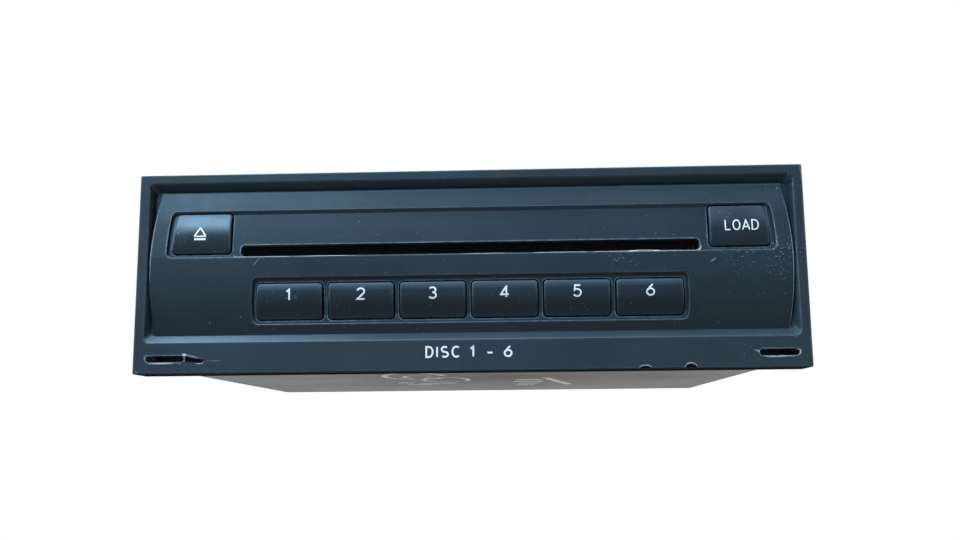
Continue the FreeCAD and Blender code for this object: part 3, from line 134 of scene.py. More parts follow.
# Whitened torn plastic, and the painted highlights along the panel's arcs
torn_and_highlight_colour = (0.50, 0.57, 0.62)
torn_and_highlight_faded = (0.16, 0.20, 0.24)
curl_colour = (0.13, 0.17, 0.22)
curl_faded = (0.06, 0.085, 0.11)
bright_colour = (0.75, 0.78, 0.80)
bright_faded = (0.35, 0.40, 0.44)
# Rubbed edges, and a painted highlight along the bezel's top edge
rub_and_highlight_colour = (0.27, 0.25, 0.22)
rub_and_highlight_faded = (0.10, 0.11, 0.12)

# Noise: most of its values lie between the first two, and the third is how far it changes a gloss
noise_low = 0.3
noise_high = 0.7
gloss_spread = 0.06

# Ranges of a surface's tilt, the upward part of its normal: from -1, down, to 1, up
facing_up = (0.40, 0.60)
facing_down = (-0.35, -0.60)
not_quite_down = (-0.60, -0.40)
overhanging = (-0.03, -0.20)
bezel_leaning = (0.08, 0.24)
button_leaning = (0.04, 0.19)

# How much dust and painted highlight, painted reflection, painted light and shade, and wear
# lie on the front; heights are above the bezel's foot
bezel_dust_and_highlight = 0.6
button_dust_and_highlight = 1.0
top_dust_and_highlight = 0.12
# The painted reflection on the foot's left end: its middle, its reach and its strength
painted_reflection_place = (14, 47)
painted_reflection_reach = 60.0
painted_reflection_share = 0.7
# How strong the painted light on faces that look down and the painted shade under overhangs are
painted_underside_light_share = 0.6
painted_overhang_shade_share = 0.6
upper_dust_and_highlight_from = 43.5
upper_dust_and_highlight_full = 45.5
middle_dust_and_highlight = 0.08
foot_dust_and_highlight_from = 13.0
foot_dust_and_highlight_full = 11.0
foot_dust_and_highlight = 0.5
# Where there is less dust and painted highlight: on the load button
less_on_load_place = (170, 17)
less_on_load_reach = 24.0
less_on_load_share = 0.9
# Painted shade along the bezel's foot, where its underside lies in shade
painted_foot_shade_fade = 0.35
painted_foot_shade_share = 0.9
streak_share = 0.35
fleck_share = 0.9

# Steel: its darker patch, in the middle of the underside, and how dark and how glossy it is there
darker_middle_place = (0.01, -0.02, tub_foot)
darker_middle_radius = 75.0
darker_middle_share = 0.85
darker_middle_factor = 0.4
darker_middle_tint = (0.2, 0.2, 0.2)
steel_tint = (0.6, 0.6, 0.6)
steel_gloss = 0.2
smudge_shade = 0.5

# Boards and the flat cable: how far apart their lines and joints lie
track_spacing = 6.0
track_width = 0.06
solder_spacing = 2.4
conductor_spacing = 6.3

# The arcs that end the raised panel: their radius, and their outermost place from the bezel's side
panel_end_radius = 111.0
panel_end_down = 28.0
panel_end_side = 3.75

# Printed signs
print_lift = 0.03 * MM
print_thickness = 0.02 * MM
stroke_step = 0.006 * MM
number_down = 35.0
number_height = 3.5
number_line = 0.46
load_shift = 0.6
load_line = 0.36
load_down = 17.15
load_height = 3.1
load_width = 9.1
eject_left = 16.1
eject_right = 19.4
eject_top = 15.5
eject_foot = 18.0
eject_bar = 18.85
eject_line = 0.42
eject_bar_line = eject_line * 1.4
sign_down = 51.7
sign_height = 3.3
sign_width = 23.6
sign_line = 0.52

# How strokes and marks are built; ray_start is well outside the surface that a ray looks for
longest_step = 0.4
same_place = 1e-9
arc_step = 12
mitre_limit = 0.5
tip_share = 0.15
ray_start = 0.02

# Marks with their own shape
slot_lip_down = 24.14
nick_foot = 56.8
nick_steps = 8
shine_steps = 12
scuff_bar_width = 5.0


def make_camera():
    data = bpy.data.cameras.new("camera")
    data.sensor_width = camera_sensor
    data.lens = camera_lens
    data.clip_start = camera_nearest
    camera = bpy.data.objects.new("camera", data)
    camera.location = camera_place
    camera.rotation_euler = [math.radians(angle) for angle in camera_turn]
    scene.collection.objects.link(camera)
    scene.camera = camera


def add_lamp(name, place, size, power, colour):
    """A square soft light that faces the object."""
    data = bpy.data.lights.new(name, "AREA")
    data.size = size
    data.energy = power
    data.color = colour
    lamp = bpy.data.objects.new(name, data)
    lamp.location = place
    lamp.rotation_euler = (-Vector(place)).to_track_quat("-Z", "Y").to_euler()
    scene.collection.objects.link(lamp)


# Node helpers

def add_node(tree, kind, values=(), **settings):
    """A shader node with its settings, and with numbers or links on its named inputs."""
    made = tree.nodes.new(kind)
    for key, value in settings.items():
        setattr(made, key, value)
    for key, value in dict(values).items():
        if isinstance(value, bpy.types.NodeSocket):
            tree.links.new(value, made.inputs[key])
        else:
            made.inputs[key].default_value = value
    return made


def math_node(tree, operation, first, second=0.0):
    return add_node(tree, "ShaderNodeMath", {0: first, 1: second}, operation=operation).outputs[0]


def both(tree, first, second):
    """One amount times another."""
    return math_node(tree, "MULTIPLY", first, second)


def either(tree, first, second):
    """The larger of two amounts."""
    return math_node(tree, "MAXIMUM", first, second)


def place_of(tree):
    return add_node(tree, "ShaderNodeTexCoord").outputs["Object"]


def normal_of(tree):
    return add_node(tree, "ShaderNodeTexCoord").outputs["Normal"]


def height_of(tree):
    return add_node(tree, "ShaderNodeSeparateXYZ", {0: place_of(tree)}).outputs["Z"]


def stretched(tree, scale):
    """The place on the object, scaled differently along its three axes."""
    made = add_node(tree, "ShaderNodeMapping", {"Vector": place_of(tree)})
    made.inputs["Scale"].default_value = scale
    return made.outputs[0]


def noise(tree, size, detail=3.0, roughness=0.55, vector=None):
    """Noise whose lumps are about the given size in millimetres."""
    values = {"Scale": 1 / (size * MM), "Detail": detail, "Roughness": roughness}
    values["Vector"] = vector or place_of(tree)
    return add_node(tree, "ShaderNodeTexNoise", values).outputs["Fac"]


def remap(tree, value, low, high, to_low=0.0, to_high=1.0):
    """A value carried from one range to another, and held inside it."""
    values = {"Value": value, "From Min": low, "From Max": high, "To Min": to_low, "To Max": to_high}
    return add_node(tree, "ShaderNodeMapRange", values, clamp=True).outputs[0]


def uneven(tree, size, to_low=0.0, to_high=1.0, detail=3.0, roughness=0.55):
    """Noise of a size in millimetres, spread between two values."""
    return remap(tree, noise(tree, size, detail, roughness), noise_low, noise_high, to_low, to_high)


def blend(tree, amount, first, second):
    """The first colour where the amount is 0 and the second where it is 1."""
    made = add_node(tree, "ShaderNodeMix", data_type="RGBA", clamp_factor=True)
    colours = [socket for socket in made.inputs if socket.type == "RGBA"]
    sockets = (made.inputs[0], colours[0], colours[1])
    for socket, value in zip(sockets, (amount, first, second)):
        if isinstance(value, bpy.types.NodeSocket):
            tree.links.new(value, socket)
        elif socket.type == "RGBA":
            socket.default_value = (*value, 1.0)
        else:
            socket.default_value = value
    return [socket for socket in made.outputs if socket.type == "RGBA"][0]


def near(tree, place, radius):
    """1 at a place, falling to 0 at the radius."""
    made = add_node(tree, "ShaderNodeVectorMath", {0: place_of(tree), 1: place}, operation="DISTANCE")
    return remap(tree, made.outputs["Value"], 0.0, radius, 1.0, 0.0)


def edge_mask(tree, width):
    """1 on outer edges and 0 on flat faces, from how little material lies behind the surface."""
    inner = add_node(tree, "ShaderNodeAmbientOcclusion", {"Distance": width * MM}, inside=True, samples=8)
    return remap(tree, inner.outputs["AO"], low=0.96, high=0.60)


def bump(tree, height, distance, strength=1.0, normal=None):
    """A bumpy normal; the distance is the bumps' depth in millimetres."""
    values = {"Height": height, "Distance": distance * MM, "Strength": strength}
    if normal:
        values["Normal"] = normal
    return add_node(tree, "ShaderNodeBump", values).outputs[0]


def new_material(name):
    """A material with its tree and its shader."""
    made = bpy.data.materials.new(name)
    made.use_nodes = True
    tree = made.node_tree
    return made, tree, tree.nodes["Principled BSDF"]


def feed(tree, value, socket):
    tree.links.new(value, socket)


# Materials

def moulded(name, dark, light, roughness, lump=18.0, grain=0.25, depth=0.006, specular=0.3):
    """Moulded plastic: a fine texture, a faint mottling and uneven gloss."""
    made, tree, shader = new_material(name)
    feed(tree, blend(tree, uneven(tree, lump), dark, light), shader.inputs["Base Color"])
    gloss = uneven(tree, lump / 3, roughness - gloss_spread, roughness + gloss_spread)
    feed(tree, gloss, shader.inputs["Roughness"])
    feed(tree, bump(tree, noise(tree, grain, detail=2.0), depth), shader.inputs["Normal"])
    shader.inputs["Specular IOR Level"].default_value = specular
    return made


def scuffed_edges(tree):
    """Where outer edges are rubbed, and partly painted bright as a highlight, in patches."""
    patches = noise(tree, 2.2, detail=5.0, roughness=0.7)
    patches = remap(tree, patches, 0.42, 0.72, to_low=0.30, to_high=0.90)
    return both(tree, edge_mask(tree, width=0.5), patches)


def shaded_by_tilt(tree, colour, dust_and_highlight_share, leaning, dusty):
    """Dust and painted highlight on what leans back, a painted reflection on the foot's left end,
    painted shade on faces that lean forward and down, and painted light on those that look further down.
    """
    tilt = add_node(tree, "ShaderNodeSeparateXYZ", {0: normal_of(tree)}).outputs["Z"]
    # Dust, partly a painted highlight, on what leans back: most at a slight lean, less on faces that look
    # straight up
    dust = both(tree, remap(tree, tilt, *leaning), remap(tree, tilt, *facing_up, dust_and_highlight_share, top_dust_and_highlight))
    colour = blend(tree, both(tree, dust, dusty(tree)), colour, dust_and_highlight_colour)
    # A painted reflection on the foot's left end
    near_painted_reflection = near(tree, on_front(*painted_reflection_place), painted_reflection_reach * MM)
    painted_reflection = both(tree, near_painted_reflection, remap(tree, tilt, *facing_up, to_high=painted_reflection_share))
    colour = blend(tree, painted_reflection, colour, painted_reflection_colour)
    # Painted light on faces that look down
    colour = blend(tree, remap(tree, tilt, *facing_down, to_high=painted_underside_light_share), colour, painted_underside_light_colour)
    # Painted shade on faces that lean forward and down, under overhangs
    painted_overhang_shade = remap(tree, tilt, *overhanging, to_high=painted_overhang_shade_share)
    return blend(tree, both(tree, painted_overhang_shade, remap(tree, tilt, *not_quite_down)), colour, painted_shade_colour)


def handled(tree, colour, spots):
    """Streaks and chips around the rubbed spots, and single flecks of dust all over."""
    chips = remap(tree, noise(tree, 0.50, detail=2.0, roughness=0.5), low=0.65, high=0.71)
    where = 0.0
    for place, radius in spots:
        where = either(tree, near(tree, place, radius * MM), where)
    streaks = noise(tree, 1.0, detail=4.0, roughness=0.6, vector=stretched(tree, (0.35, 1.0, 2.2)))
    rubbed = both(tree, remap(tree, streaks, low=0.60, high=0.74), both(tree, where, streak_share))
    flecks = remap(tree, noise(tree, 0.36, detail=1.0, roughness=0.4), 0.785, 0.815, to_high=fleck_share)
    colour = blend(tree, rubbed, colour, wear_colour)
    return blend(tree, either(tree, both(tree, chips, where), flecks), colour, speck_colour)


def worn_plastic(name, dark, light, roughness, spots, rounding, painted_foot_shade_below, dust_and_highlight_share, leaning, dusty):
    """Textured front plastic: dust and painted highlight on what leans back, edges worn and partly
    painted bright as a highlight, small chips, and painted shade along the foot.
    """
    made, tree, shader = new_material(name)
    colour = blend(tree, uneven(tree, 25.0, detail=4.0), dark, light)
    # Worn edges, partly a painted highlight
    colour = blend(tree, scuffed_edges(tree), colour, edge_wear_and_highlight_colour)
    colour = shaded_by_tilt(tree, colour, dust_and_highlight_share, leaning, dusty)
    colour = handled(tree, colour, spots)
    shader.inputs["Specular IOR Level"].default_value = clean_gloss
    shader.inputs["Specular Tint"].default_value = (*clean_tint, 1.0)
    # Painted shade along the foot: darker, and without gloss
    if painted_foot_shade_below is not None:
        painted_foot_shade = remap(tree, height_of(tree), painted_foot_shade_below + painted_foot_shade_fade * MM, painted_foot_shade_below)
        colour = blend(tree, both(tree, painted_foot_shade, painted_foot_shade_share), colour, painted_shade_colour)
        gloss = remap(tree, painted_foot_shade, 0.0, 1.0, to_low=clean_gloss, to_high=0.0)
        feed(tree, gloss, shader.inputs["Specular IOR Level"])
    feed(tree, colour, shader.inputs["Base Color"])
    smears = noise(tree, 14.0, detail=5.0, roughness=0.65)
    smears = remap(tree, smears, 0.35, 0.7, to_low=roughness - 0.07, to_high=roughness + 0.08)
    feed(tree, smears, shader.inputs["Roughness"])
    soft = add_node(tree, "ShaderNodeBevel", {"Radius": rounding * MM}, samples=6).outputs[0]
    grain = bump(tree, noise(tree, 0.28, detail=2.0), distance=0.010, strength=0.8, normal=soft)
    feed(tree, grain, shader.inputs["Normal"])
    return made


def above_foot(height):
    """A height above the bezel's foot, in metres of the frame."""
    return bezel_low.z + height * MM


def dust_on_panel(tree):
    """Most dust and painted highlight above the upper recess, some on the foot and hardly any between."""
    height = height_of(tree)
    upper_range = above_foot(upper_dust_and_highlight_from), above_foot(upper_dust_and_highlight_full)
    foot_range = above_foot(foot_dust_and_highlight_from), above_foot(foot_dust_and_highlight_full)
    upper = remap(tree, height, *upper_range, to_low=middle_dust_and_highlight)
    return either(tree, upper, remap(tree, height, *foot_range, to_high=foot_dust_and_highlight))


def dust_on_buttons(tree):
    """Dust and painted highlight on all buttons, with less on the load button."""
    less_on_load = both(tree, near(tree, on_front(*less_on_load_place), less_on_load_reach * MM), less_on_load_share)
    return math_node(tree, "SUBTRACT", 1.0, less_on_load)


def darker(colour, share):
    """A colour at a share of its strength."""
    return tuple(part * share for part in colour)


def sheet_metal(name, dark, light, roughness, lines=(1.0, 1.0, 1.0), stain=0.3, metallic=0.8):
    """Rolled or plated metal: fine lines one way, cloudy plating, darker stains, and a darker,
    duller patch in the middle of the underside.
    """
    made, tree, shader = new_material(name)
    colour = blend(tree, uneven(tree, 22.0, detail=5.0, roughness=0.6), dark, light)
    smudges = remap(tree, noise(tree, 45.0), low=0.50, high=0.70, to_high=stain)
    colour = blend(tree, smudges, colour, darker(dark, smudge_shade))
    # Darker and duller towards the middle of the underside
    darker_middle = both(tree, near(tree, darker_middle_place, darker_middle_radius * MM), darker_middle_share)
    colour = blend(tree, darker_middle, colour, darker(dark, darker_middle_factor))
    feed(tree, colour, shader.inputs["Base Color"])
    fine = noise(tree, 0.5, roughness=0.6, vector=stretched(tree, lines))
    gloss = remap(tree, fine, noise_low, noise_high, to_low=roughness - 0.08, to_high=roughness + 0.10)
    feed(tree, gloss, shader.inputs["Roughness"])
    feed(tree, bump(tree, fine, distance=0.006, strength=0.6), shader.inputs["Normal"])
    shader.inputs["Metallic"].default_value = metallic
    shader.inputs["Specular IOR Level"].default_value = steel_gloss
    feed(tree, blend(tree, darker_middle, steel_tint, darker_middle_tint), shader.inputs["Specular Tint"])
    return made


def board_material():
    """Solder mask with copper tracks that show through as lighter lines, and tinned joints."""
    made, tree, shader = new_material("board_look")
    tracks = add_node(tree, "ShaderNodeTexBrick", {
        "Vector": place_of(tree), "Scale": 1 / (track_spacing * MM), "Mortar Size": track_width,
        "Color1": (*board_dark, 1.0), "Color2": (*board_light, 1.0), "Mortar": (*track_colour, 1.0),
    })
    dots = add_node(tree, "ShaderNodeTexVoronoi", {
        "Vector": place_of(tree), "Scale": 1 / (solder_spacing * MM),
    })
    joints = remap(tree, dots.outputs["Distance"], low=0.14, high=0.18, to_low=0.8, to_high=0.0)
    colour = blend(tree, joints, tracks.outputs["Color"], solder_colour)
    feed(tree, colour, shader.inputs["Base Color"])
    feed(tree, bump(tree, tracks.outputs["Fac"], distance=0.02, strength=0.5), shader.inputs["Normal"])
    feed(tree, uneven(tree, 5.0, to_low=0.28, to_high=0.42), shader.inputs["Roughness"])
    return made


def felt_material():
    """Black felt: fibres that lie along the slot, with a soft sheen."""
    made, tree, shader = new_material("felt_look")
    fibres = noise(tree, 0.35, detail=4.0, roughness=0.7, vector=stretched(tree, (0.5, 1.0, 1.0)))
    feed(tree, blend(tree, fibres, felt_dark, felt_light), shader.inputs["Base Color"])
    feed(tree, bump(tree, fibres, distance=0.12), shader.inputs["Normal"])
    feed(tree, remap(tree, fibres, noise_low, noise_high, to_low=0.85), shader.inputs["Roughness"])
    shader.inputs["Sheen Weight"].default_value = 0.4
    return made


def lens_material():
    """Coated glass with a bluish tint."""
    made, tree, shader = new_material("lens_look")
    feed(tree, blend(tree, noise(tree, 2.0), lens_blue, lens_violet), shader.inputs["Base Color"])
    feed(tree, uneven(tree, 1.0, to_low=0.02, to_high=0.06), shader.inputs["Roughness"])
    shader.inputs["Transmission Weight"].default_value = 0.8
    return made


def ribbon_material():
    """A flat cable: pale film with its conductors showing as lines."""
    made, tree, shader = new_material("ribbon_look")
    wave = add_node(tree, "ShaderNodeTexWave", {
        "Vector": place_of(tree), "Scale": 1 / (conductor_spacing * MM), "Distortion": 0.0,
    }, bands_direction="X")
    line = remap(tree, wave.outputs["Fac"], low=0.4, high=0.6)
    feed(tree, blend(tree, line, film_colour, conductor_colour), shader.inputs["Base Color"])
    feed(tree, bump(tree, wave.outputs["Fac"], distance=0.05), shader.inputs["Normal"])
    feed(tree, uneven(tree, 4.0, to_low=0.25, to_high=0.35), shader.inputs["Roughness"])
    return made


def print_material():
    """Pad-printed paint, a little uneven and rubbed thin in places."""
    made, tree, shader = new_material("print_look")
    rubbed = remap(tree, noise(tree, 0.5, detail=4.0, roughness=0.7), low=0.58, high=0.80, to_high=0.25)
    feed(tree, blend(tree, rubbed, print_colour, bezel_light), shader.inputs["Base Color"])
    feed(tree, uneven(tree, 0.8, to_low=0.45, to_high=0.6), shader.inputs["Roughness"])
    feed(tree, bump(tree, noise(tree, 0.2), distance=0.004), shader.inputs["Normal"])
    return made


def damage_material(name, colour, faded, roughness, specular=0.3):
    """Broken or rubbed plastic: uneven in colour and rough."""
    made, tree, shader = new_material(name)
    patches = remap(tree, noise(tree, 0.6, detail=5.0, roughness=0.7), low=0.35, high=0.65)
    feed(tree, blend(tree, patches, colour, faded), shader.inputs["Base Color"])
    feed(tree, uneven(tree, 0.3, to_low=roughness), shader.inputs["Roughness"])
    feed(tree, bump(tree, noise(tree, 0.25, detail=4.0), distance=0.05), shader.inputs["Normal"])
    shader.inputs["Specular IOR Level"].default_value = specular
    return made


def chalk_material():
    """A pale mark rubbed on metal, broken up where it has worn away."""
    made, tree, shader = new_material("scuff_look")
    gaps = remap(tree, noise(tree, 0.9, detail=5.0, roughness=0.75), low=0.42, high=0.60)
    feed(tree, blend(tree, gaps, scuff_colour, scuff_faded), shader.inputs["Base Color"])
    feed(tree, uneven(tree, 0.5, to_low=0.7, to_high=0.9), shader.inputs["Roughness"])
    return made


def on_front(across, down):
    """A place on the front plane, in metres."""
    return Vector((bezel_low.x + across * MM, front_y, bezel_high.z - down * MM))


def bezel_spots():
    """Where the front is rubbed, chipped or dusty, with each patch's radius in millimetres."""
    return [
        (on_front(169, 25), 7.0), (on_front(181, 26), 8.0), (on_front(138, 26), 6.0),
        (on_front(14, 54), 4.0), (on_front(172, 52), 4.0), (on_front(186, 25), 5.0),
        (on_front(182, 6), 6.0),
    ]


def button_spots():
    """Where the buttons are rubbed, as for the bezel."""
    return [(on_front(12, 18), 3.0), (on_front(45, 36), 2.0), (on_front(166, 14), 3.0)]


def dress_nodes():
    """Gives every carried-over node its material."""
    steel = sheet_metal(
        "steel_look", dark=(0.14, 0.135, 0.13), light=(0.21, 0.20, 0.195), roughness=0.62,
        lines=(0.1, 1.0, 1.0), stain=0.6, metallic=0.25,
    )
    inner_steel = sheet_metal(
        "inner_steel_look", dark=(0.40, 0.39, 0.37), light=(0.50, 0.49, 0.47), roughness=0.38,
    )
    screw = sheet_metal(
        "screw_look", dark=(0.42, 0.41, 0.38), light=(0.55, 0.53, 0.48), roughness=0.30,
    )
    motor = sheet_metal(
        "motor_look", dark=(0.45, 0.45, 0.45), light=(0.58, 0.58, 0.57), roughness=0.28,
        lines=(1.0, 1.0, 0.2),
    )
    jack = sheet_metal(
        "jack_look", dark=(0.55, 0.42, 0.20), light=(0.68, 0.54, 0.28), roughness=0.25,
    )
    black = moulded(
        "black_look", dark=(0.003, 0.003, 0.003), light=(0.006, 0.006, 0.006), roughness=0.6,
        specular=0.08,
    )
    white_plastic = moulded(
        "white_look", dark=(0.60, 0.59, 0.55), light=(0.70, 0.69, 0.65), roughness=0.42,
    )
    rubber = moulded(
        "rubber_look", dark=(0.010, 0.010, 0.010), light=(0.018, 0.018, 0.018), roughness=0.75, lump=6.0,
    )
    chip = moulded(
        "chip_look", dark=(0.010, 0.010, 0.011), light=(0.018, 0.018, 0.019), roughness=0.50,
        lump=3.0, grain=0.12,
    )
    lamp = moulded(
        "lamp_look", dark=(0.72, 0.72, 0.68), light=(0.82, 0.82, 0.78), roughness=0.20, lump=2.0,
    )
    bezel = worn_plastic(
        "bezel_look", bezel_dark, bezel_light, roughness=0.40, spots=bezel_spots(), rounding=0.12,
        painted_foot_shade_below=bezel_low.z, dust_and_highlight_share=bezel_dust_and_highlight, leaning=bezel_leaning, dusty=dust_on_panel,
    )
    button = worn_plastic(
        "button_look", button_dark, button_light, roughness=0.30, spots=button_spots(), rounding=0.15,
        painted_foot_shade_below=None, dust_and_highlight_share=button_dust_and_highlight, leaning=button_leaning, dusty=dust_on_buttons,
    )
    looks = {
        "bezel_plastic": bezel, "button_plastic": button, "sheet_steel": steel, "screw_steel": screw,
        "motor_steel": motor, "circuit_board": board_material(), "chip_plastic": chip,
        "lamp_plastic": lamp, "black_plastic": black, "white_plastic": white_plastic,
        "rubber": rubber, "felt": felt_material(), "lens_glass": lens_material(),
        "ribbon": ribbon_material(), "jack_metal": jack,
    }
    inner = {"mechanism_base", "mechanism_top", "pickup_arm", "clamp_plate", "front_plate"}
    for entry in frame["record"]["subparts"]:
        name = entry["node"]
        look = inner_steel if name in inner else looks[entry["material_slot"]]
        data = nodes[name].data
        data.materials.clear()
        data.materials.append(look)


# Pieces on the front

def front_surface():
    """The bezel's and the buttons' faces, to lay prints and marks on."""
    verts = []
    faces = []
    for name, node in nodes.items():
        if name == "bezel" or name.endswith("_button") or name.startswith("disc_button"):
            start = len(verts)
            verts += [node.matrix_world @ vertex.co for vertex in node.data.vertices]
            faces += [[start + index for index in face.vertices] for face in node.data.polygons]
    return BVHTree.FromPolygons(verts, faces)


def tub_faces():
    """The case's faces, to lay marks on its underside."""
    tub = nodes["case_tub"]
    verts = [tub.matrix_world @ vertex.co for vertex in tub.data.vertices]
    return BVHTree.FromPolygons(verts, [list(face.vertices) for face in tub.data.polygons])


def surface_y(x, z):
    """How far back the front's surface lies at a place."""
    hit = surface.ray_cast(Vector((x, front_y - ray_start, z)), Vector((0.0, 1.0, 0.0)))[0]
    return hit.y if hit else front_y


def link_mesh(name, mesh, material, body=case_body):
    """Makes a piece of a mesh; it rides on a body and takes its finish from a slot."""
    mesh.materials.clear()
    mesh.materials.append(material)
    piece = bpy.data.objects.new(name, mesh)
    scene.collection.objects.link(piece)
    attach(piece, body)
    return piece


def laid_on_front(name, outlines, material, body, lift=print_lift, thickness=print_thickness):
    """Thin flat shapes that follow the front's surface; outlines are lists of (x, z) in metres."""
    mesh = bpy.data.meshes.new(name)
    built = bmesh.new()
    for outline in outlines:
        front = [built.verts.new((x, surface_y(x, z) - lift - thickness, z)) for x, z in outline]
        back = [built.verts.new((x, surface_y(x, z) - lift, z)) for x, z in outline]
        built.faces.new(front)
        built.faces.new(back[::-1])
        for here in range(len(outline)):
            there = (here + 1) % len(outline)
            built.faces.new((front[here], back[here], back[there], front[there]))
    bmesh.ops.recalc_face_normals(built, faces=built.faces)
    bmesh.ops.triangulate(built, faces=built.faces)
    built.to_mesh(mesh)
    built.free()
    return link_mesh(name, mesh, material, body)


def arc(x, y, wide, tall, start, end):
    """Points of an elliptic arc between two angles in degrees."""
    steps = max(3, round(abs(end - start) / arc_step))
    angles = [math.radians(start + (end - start) * step / steps) for step in range(steps + 1)]
    return [(x + wide * math.cos(angle), y + tall * math.sin(angle)) for angle in angles]


def character(letter):
    """The strokes of one character of height 1, and its width."""
    if letter == "1":
        return [[(0.0, 0.76), (0.22, 0.99), (0.22, 0.0)]], 0.40
    if letter == "2":
        return [arc(0.30, 0.70, 0.28, 0.30, 165, -32) + [(0.02, 0.0), (0.60, 0.0)]], 0.60
    if letter == "3":
        upper = arc(0.28, 0.755, 0.25, 0.245, 150, -90)
        lower = arc(0.28, 0.265, 0.29, 0.265, 90, -150)
        return [upper, lower], 0.58
    if letter == "4":
        return [[(0.62, 0.25), (0.0, 0.25), (0.44, 1.0), (0.44, 0.0)]], 0.62
    if letter == "5":
        return [[(0.54, 1.0), (0.12, 1.0), (0.07, 0.53)] + arc(0.28, 0.32, 0.30, 0.33, 128, -150)], 0.58
    if letter == "6":
        return [arc(0.30, 0.31, 0.29, 0.31, 0, 360), [(0.48, 1.0), (0.24, 0.72), (0.04, 0.42)]], 0.60
    if letter == "L":
        return [[(0.0, 1.0), (0.0, 0.0), (0.44, 0.0)]], 0.46
    if letter == "O":
        return [arc(0.30, 0.5, 0.30, 0.5, 0, 360)], 0.60
    if letter == "A":
        return [[(0.0, 0.0), (0.31, 1.0), (0.62, 0.0)], [(0.10, 0.30), (0.52, 0.30)]], 0.62
    if letter == "D":
        stem = [(0.22, 0.0), (0.0, 0.0), (0.0, 1.0), (0.22, 1.0)]
        return [stem, arc(0.22, 0.5, 0.32, 0.5, 90, -90)], 0.54
    if letter == "I":
        return [[(0.0, 1.0), (0.0, 0.0)]], 0.0
    if letter == "S":
        upper = arc(0.27, 0.75, 0.25, 0.25, 40, 270)
        lower = arc(0.27, 0.25, 0.27, 0.25, 90, -140)
        return [upper, lower], 0.54
    if letter == "C":
        return [arc(0.33, 0.5, 0.33, 0.5, 52, 308)], 0.54
    if letter == "-":
        return [[(0.0, 0.38), (0.44, 0.38)]], 0.44
    return [], 0.25


def is_closed(points):
    return (Vector(points[0]) - Vector(points[-1])).length < same_place


def fine_steps(points):
    """The same path with places close enough together to follow a bowed surface."""
    path = []
    for start, end in zip(points, points[1:]):
        count = max(1, math.ceil((Vector(end) - Vector(start)).length / longest_step))
        path += [tuple(Vector(start).lerp(Vector(end), step / count)) for step in range(count)]
    return path + [tuple(points[-1])]


def ribbon(points, width):
    """The two sides of a stroke of even width along points, with mitred joints."""
    closed = is_closed(points)
    count = len(points)
    left = []
    right = []
    for place in range(count):
        here = Vector(points[place])
        first = here - Vector(points[place - 1 if place else (-2 if closed else 0)])
        second = Vector(points[place + 1 if place + 1 < count else (1 if closed else -1)]) - here
        first = (first if first.length else second).normalized()
        second = (second if second.length else first).normalized()
        along = (first + second).normalized()
        side = Vector((-along.y, along.x))
        reach = width / 2 / max(mitre_limit, side.dot(Vector((-first.y, first.x))))
        left.append(here + side * reach)
        right.append(here - side * reach)
    if closed:
        return left[:-1], right[:-1], True
    return left, right, False


def add_ribbon(built, points, width, lift, thickness, shape):
    """Builds one closed solid stroke; the shape function places each flat point on the object."""
    left, right, closed = ribbon(fine_steps(points), width)
    rows = []
    for side in (left, right):
        for depth in (lift + thickness, lift):
            rows.append([built.verts.new(shape(place, depth)) for place in side])
    left_top, left_foot, right_top, right_foot = rows
    count = len(left)
    for here in range(count if closed else count - 1):
        there = (here + 1) % count
        built.faces.new((left_top[here], left_top[there], right_top[there], right_top[here]))
        built.faces.new((left_foot[here], right_foot[here], right_foot[there], left_foot[there]))
        built.faces.new((left_top[here], left_foot[here], left_foot[there], left_top[there]))
        built.faces.new((right_top[here], right_top[there], right_foot[there], right_foot[here]))
    if not closed:
        for end in (0, -1):
            built.faces.new((left_top[end], right_top[end], right_foot[end], left_foot[end]))


def finished_mesh(built, name, material, body=case_body):
    """Makes a piece of what has been built."""
    bmesh.ops.recalc_face_normals(built, faces=built.faces)
    mesh = bpy.data.meshes.new(name)
    built.to_mesh(mesh)
    built.free()
    return link_mesh(name, mesh, material, body)


def sign(name, text, across, down, height, width, line, body):
    """Printed characters, centred on a place; the width of the whole sign sets its spacing."""
    shapes = [character(letter) for letter in text]
    natural = sum(shape[1] for shape in shapes) * height
    gap = (width - natural) / max(1, len(text) - 1)
    start = -width / 2 if len(text) > 1 else -natural / 2
    built = bmesh.new()

    def on_surface(place, depth):
        spot = on_front(across + place.x, down - place.y)
        return spot.x, surface_y(spot.x, spot.z) - depth, spot.z

    for strokes, wide in shapes:
        for order, points in enumerate(strokes):
            places = [(start + x * height, (y - 0.5) * (height - line)) for x, y in points]
            add_ribbon(built, places, line, print_lift + order * stroke_step, print_thickness, on_surface)
        start += wide * height + gap
    return finished_mesh(built, name, print_look, body)


def corner(across, down):
    """A place on the front as (x, z) in metres."""
    place = on_front(across, down)
    return place.x, place.z


def bar_between(start, end, width):
    """The outline of a straight bar between two front places, in metres."""
    first = Vector(corner(*start))
    last = Vector(corner(*end))
    side = (last - first).normalized().orthogonal() * width * MM / 2
    return [tuple(first + side), tuple(first - side), tuple(last - side), tuple(last + side)]


def middle_of(name):
    """How far across the front the middle of a node lies."""
    low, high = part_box(name)
    return ((low.x + high.x) / 2 - bezel_low.x) / MM


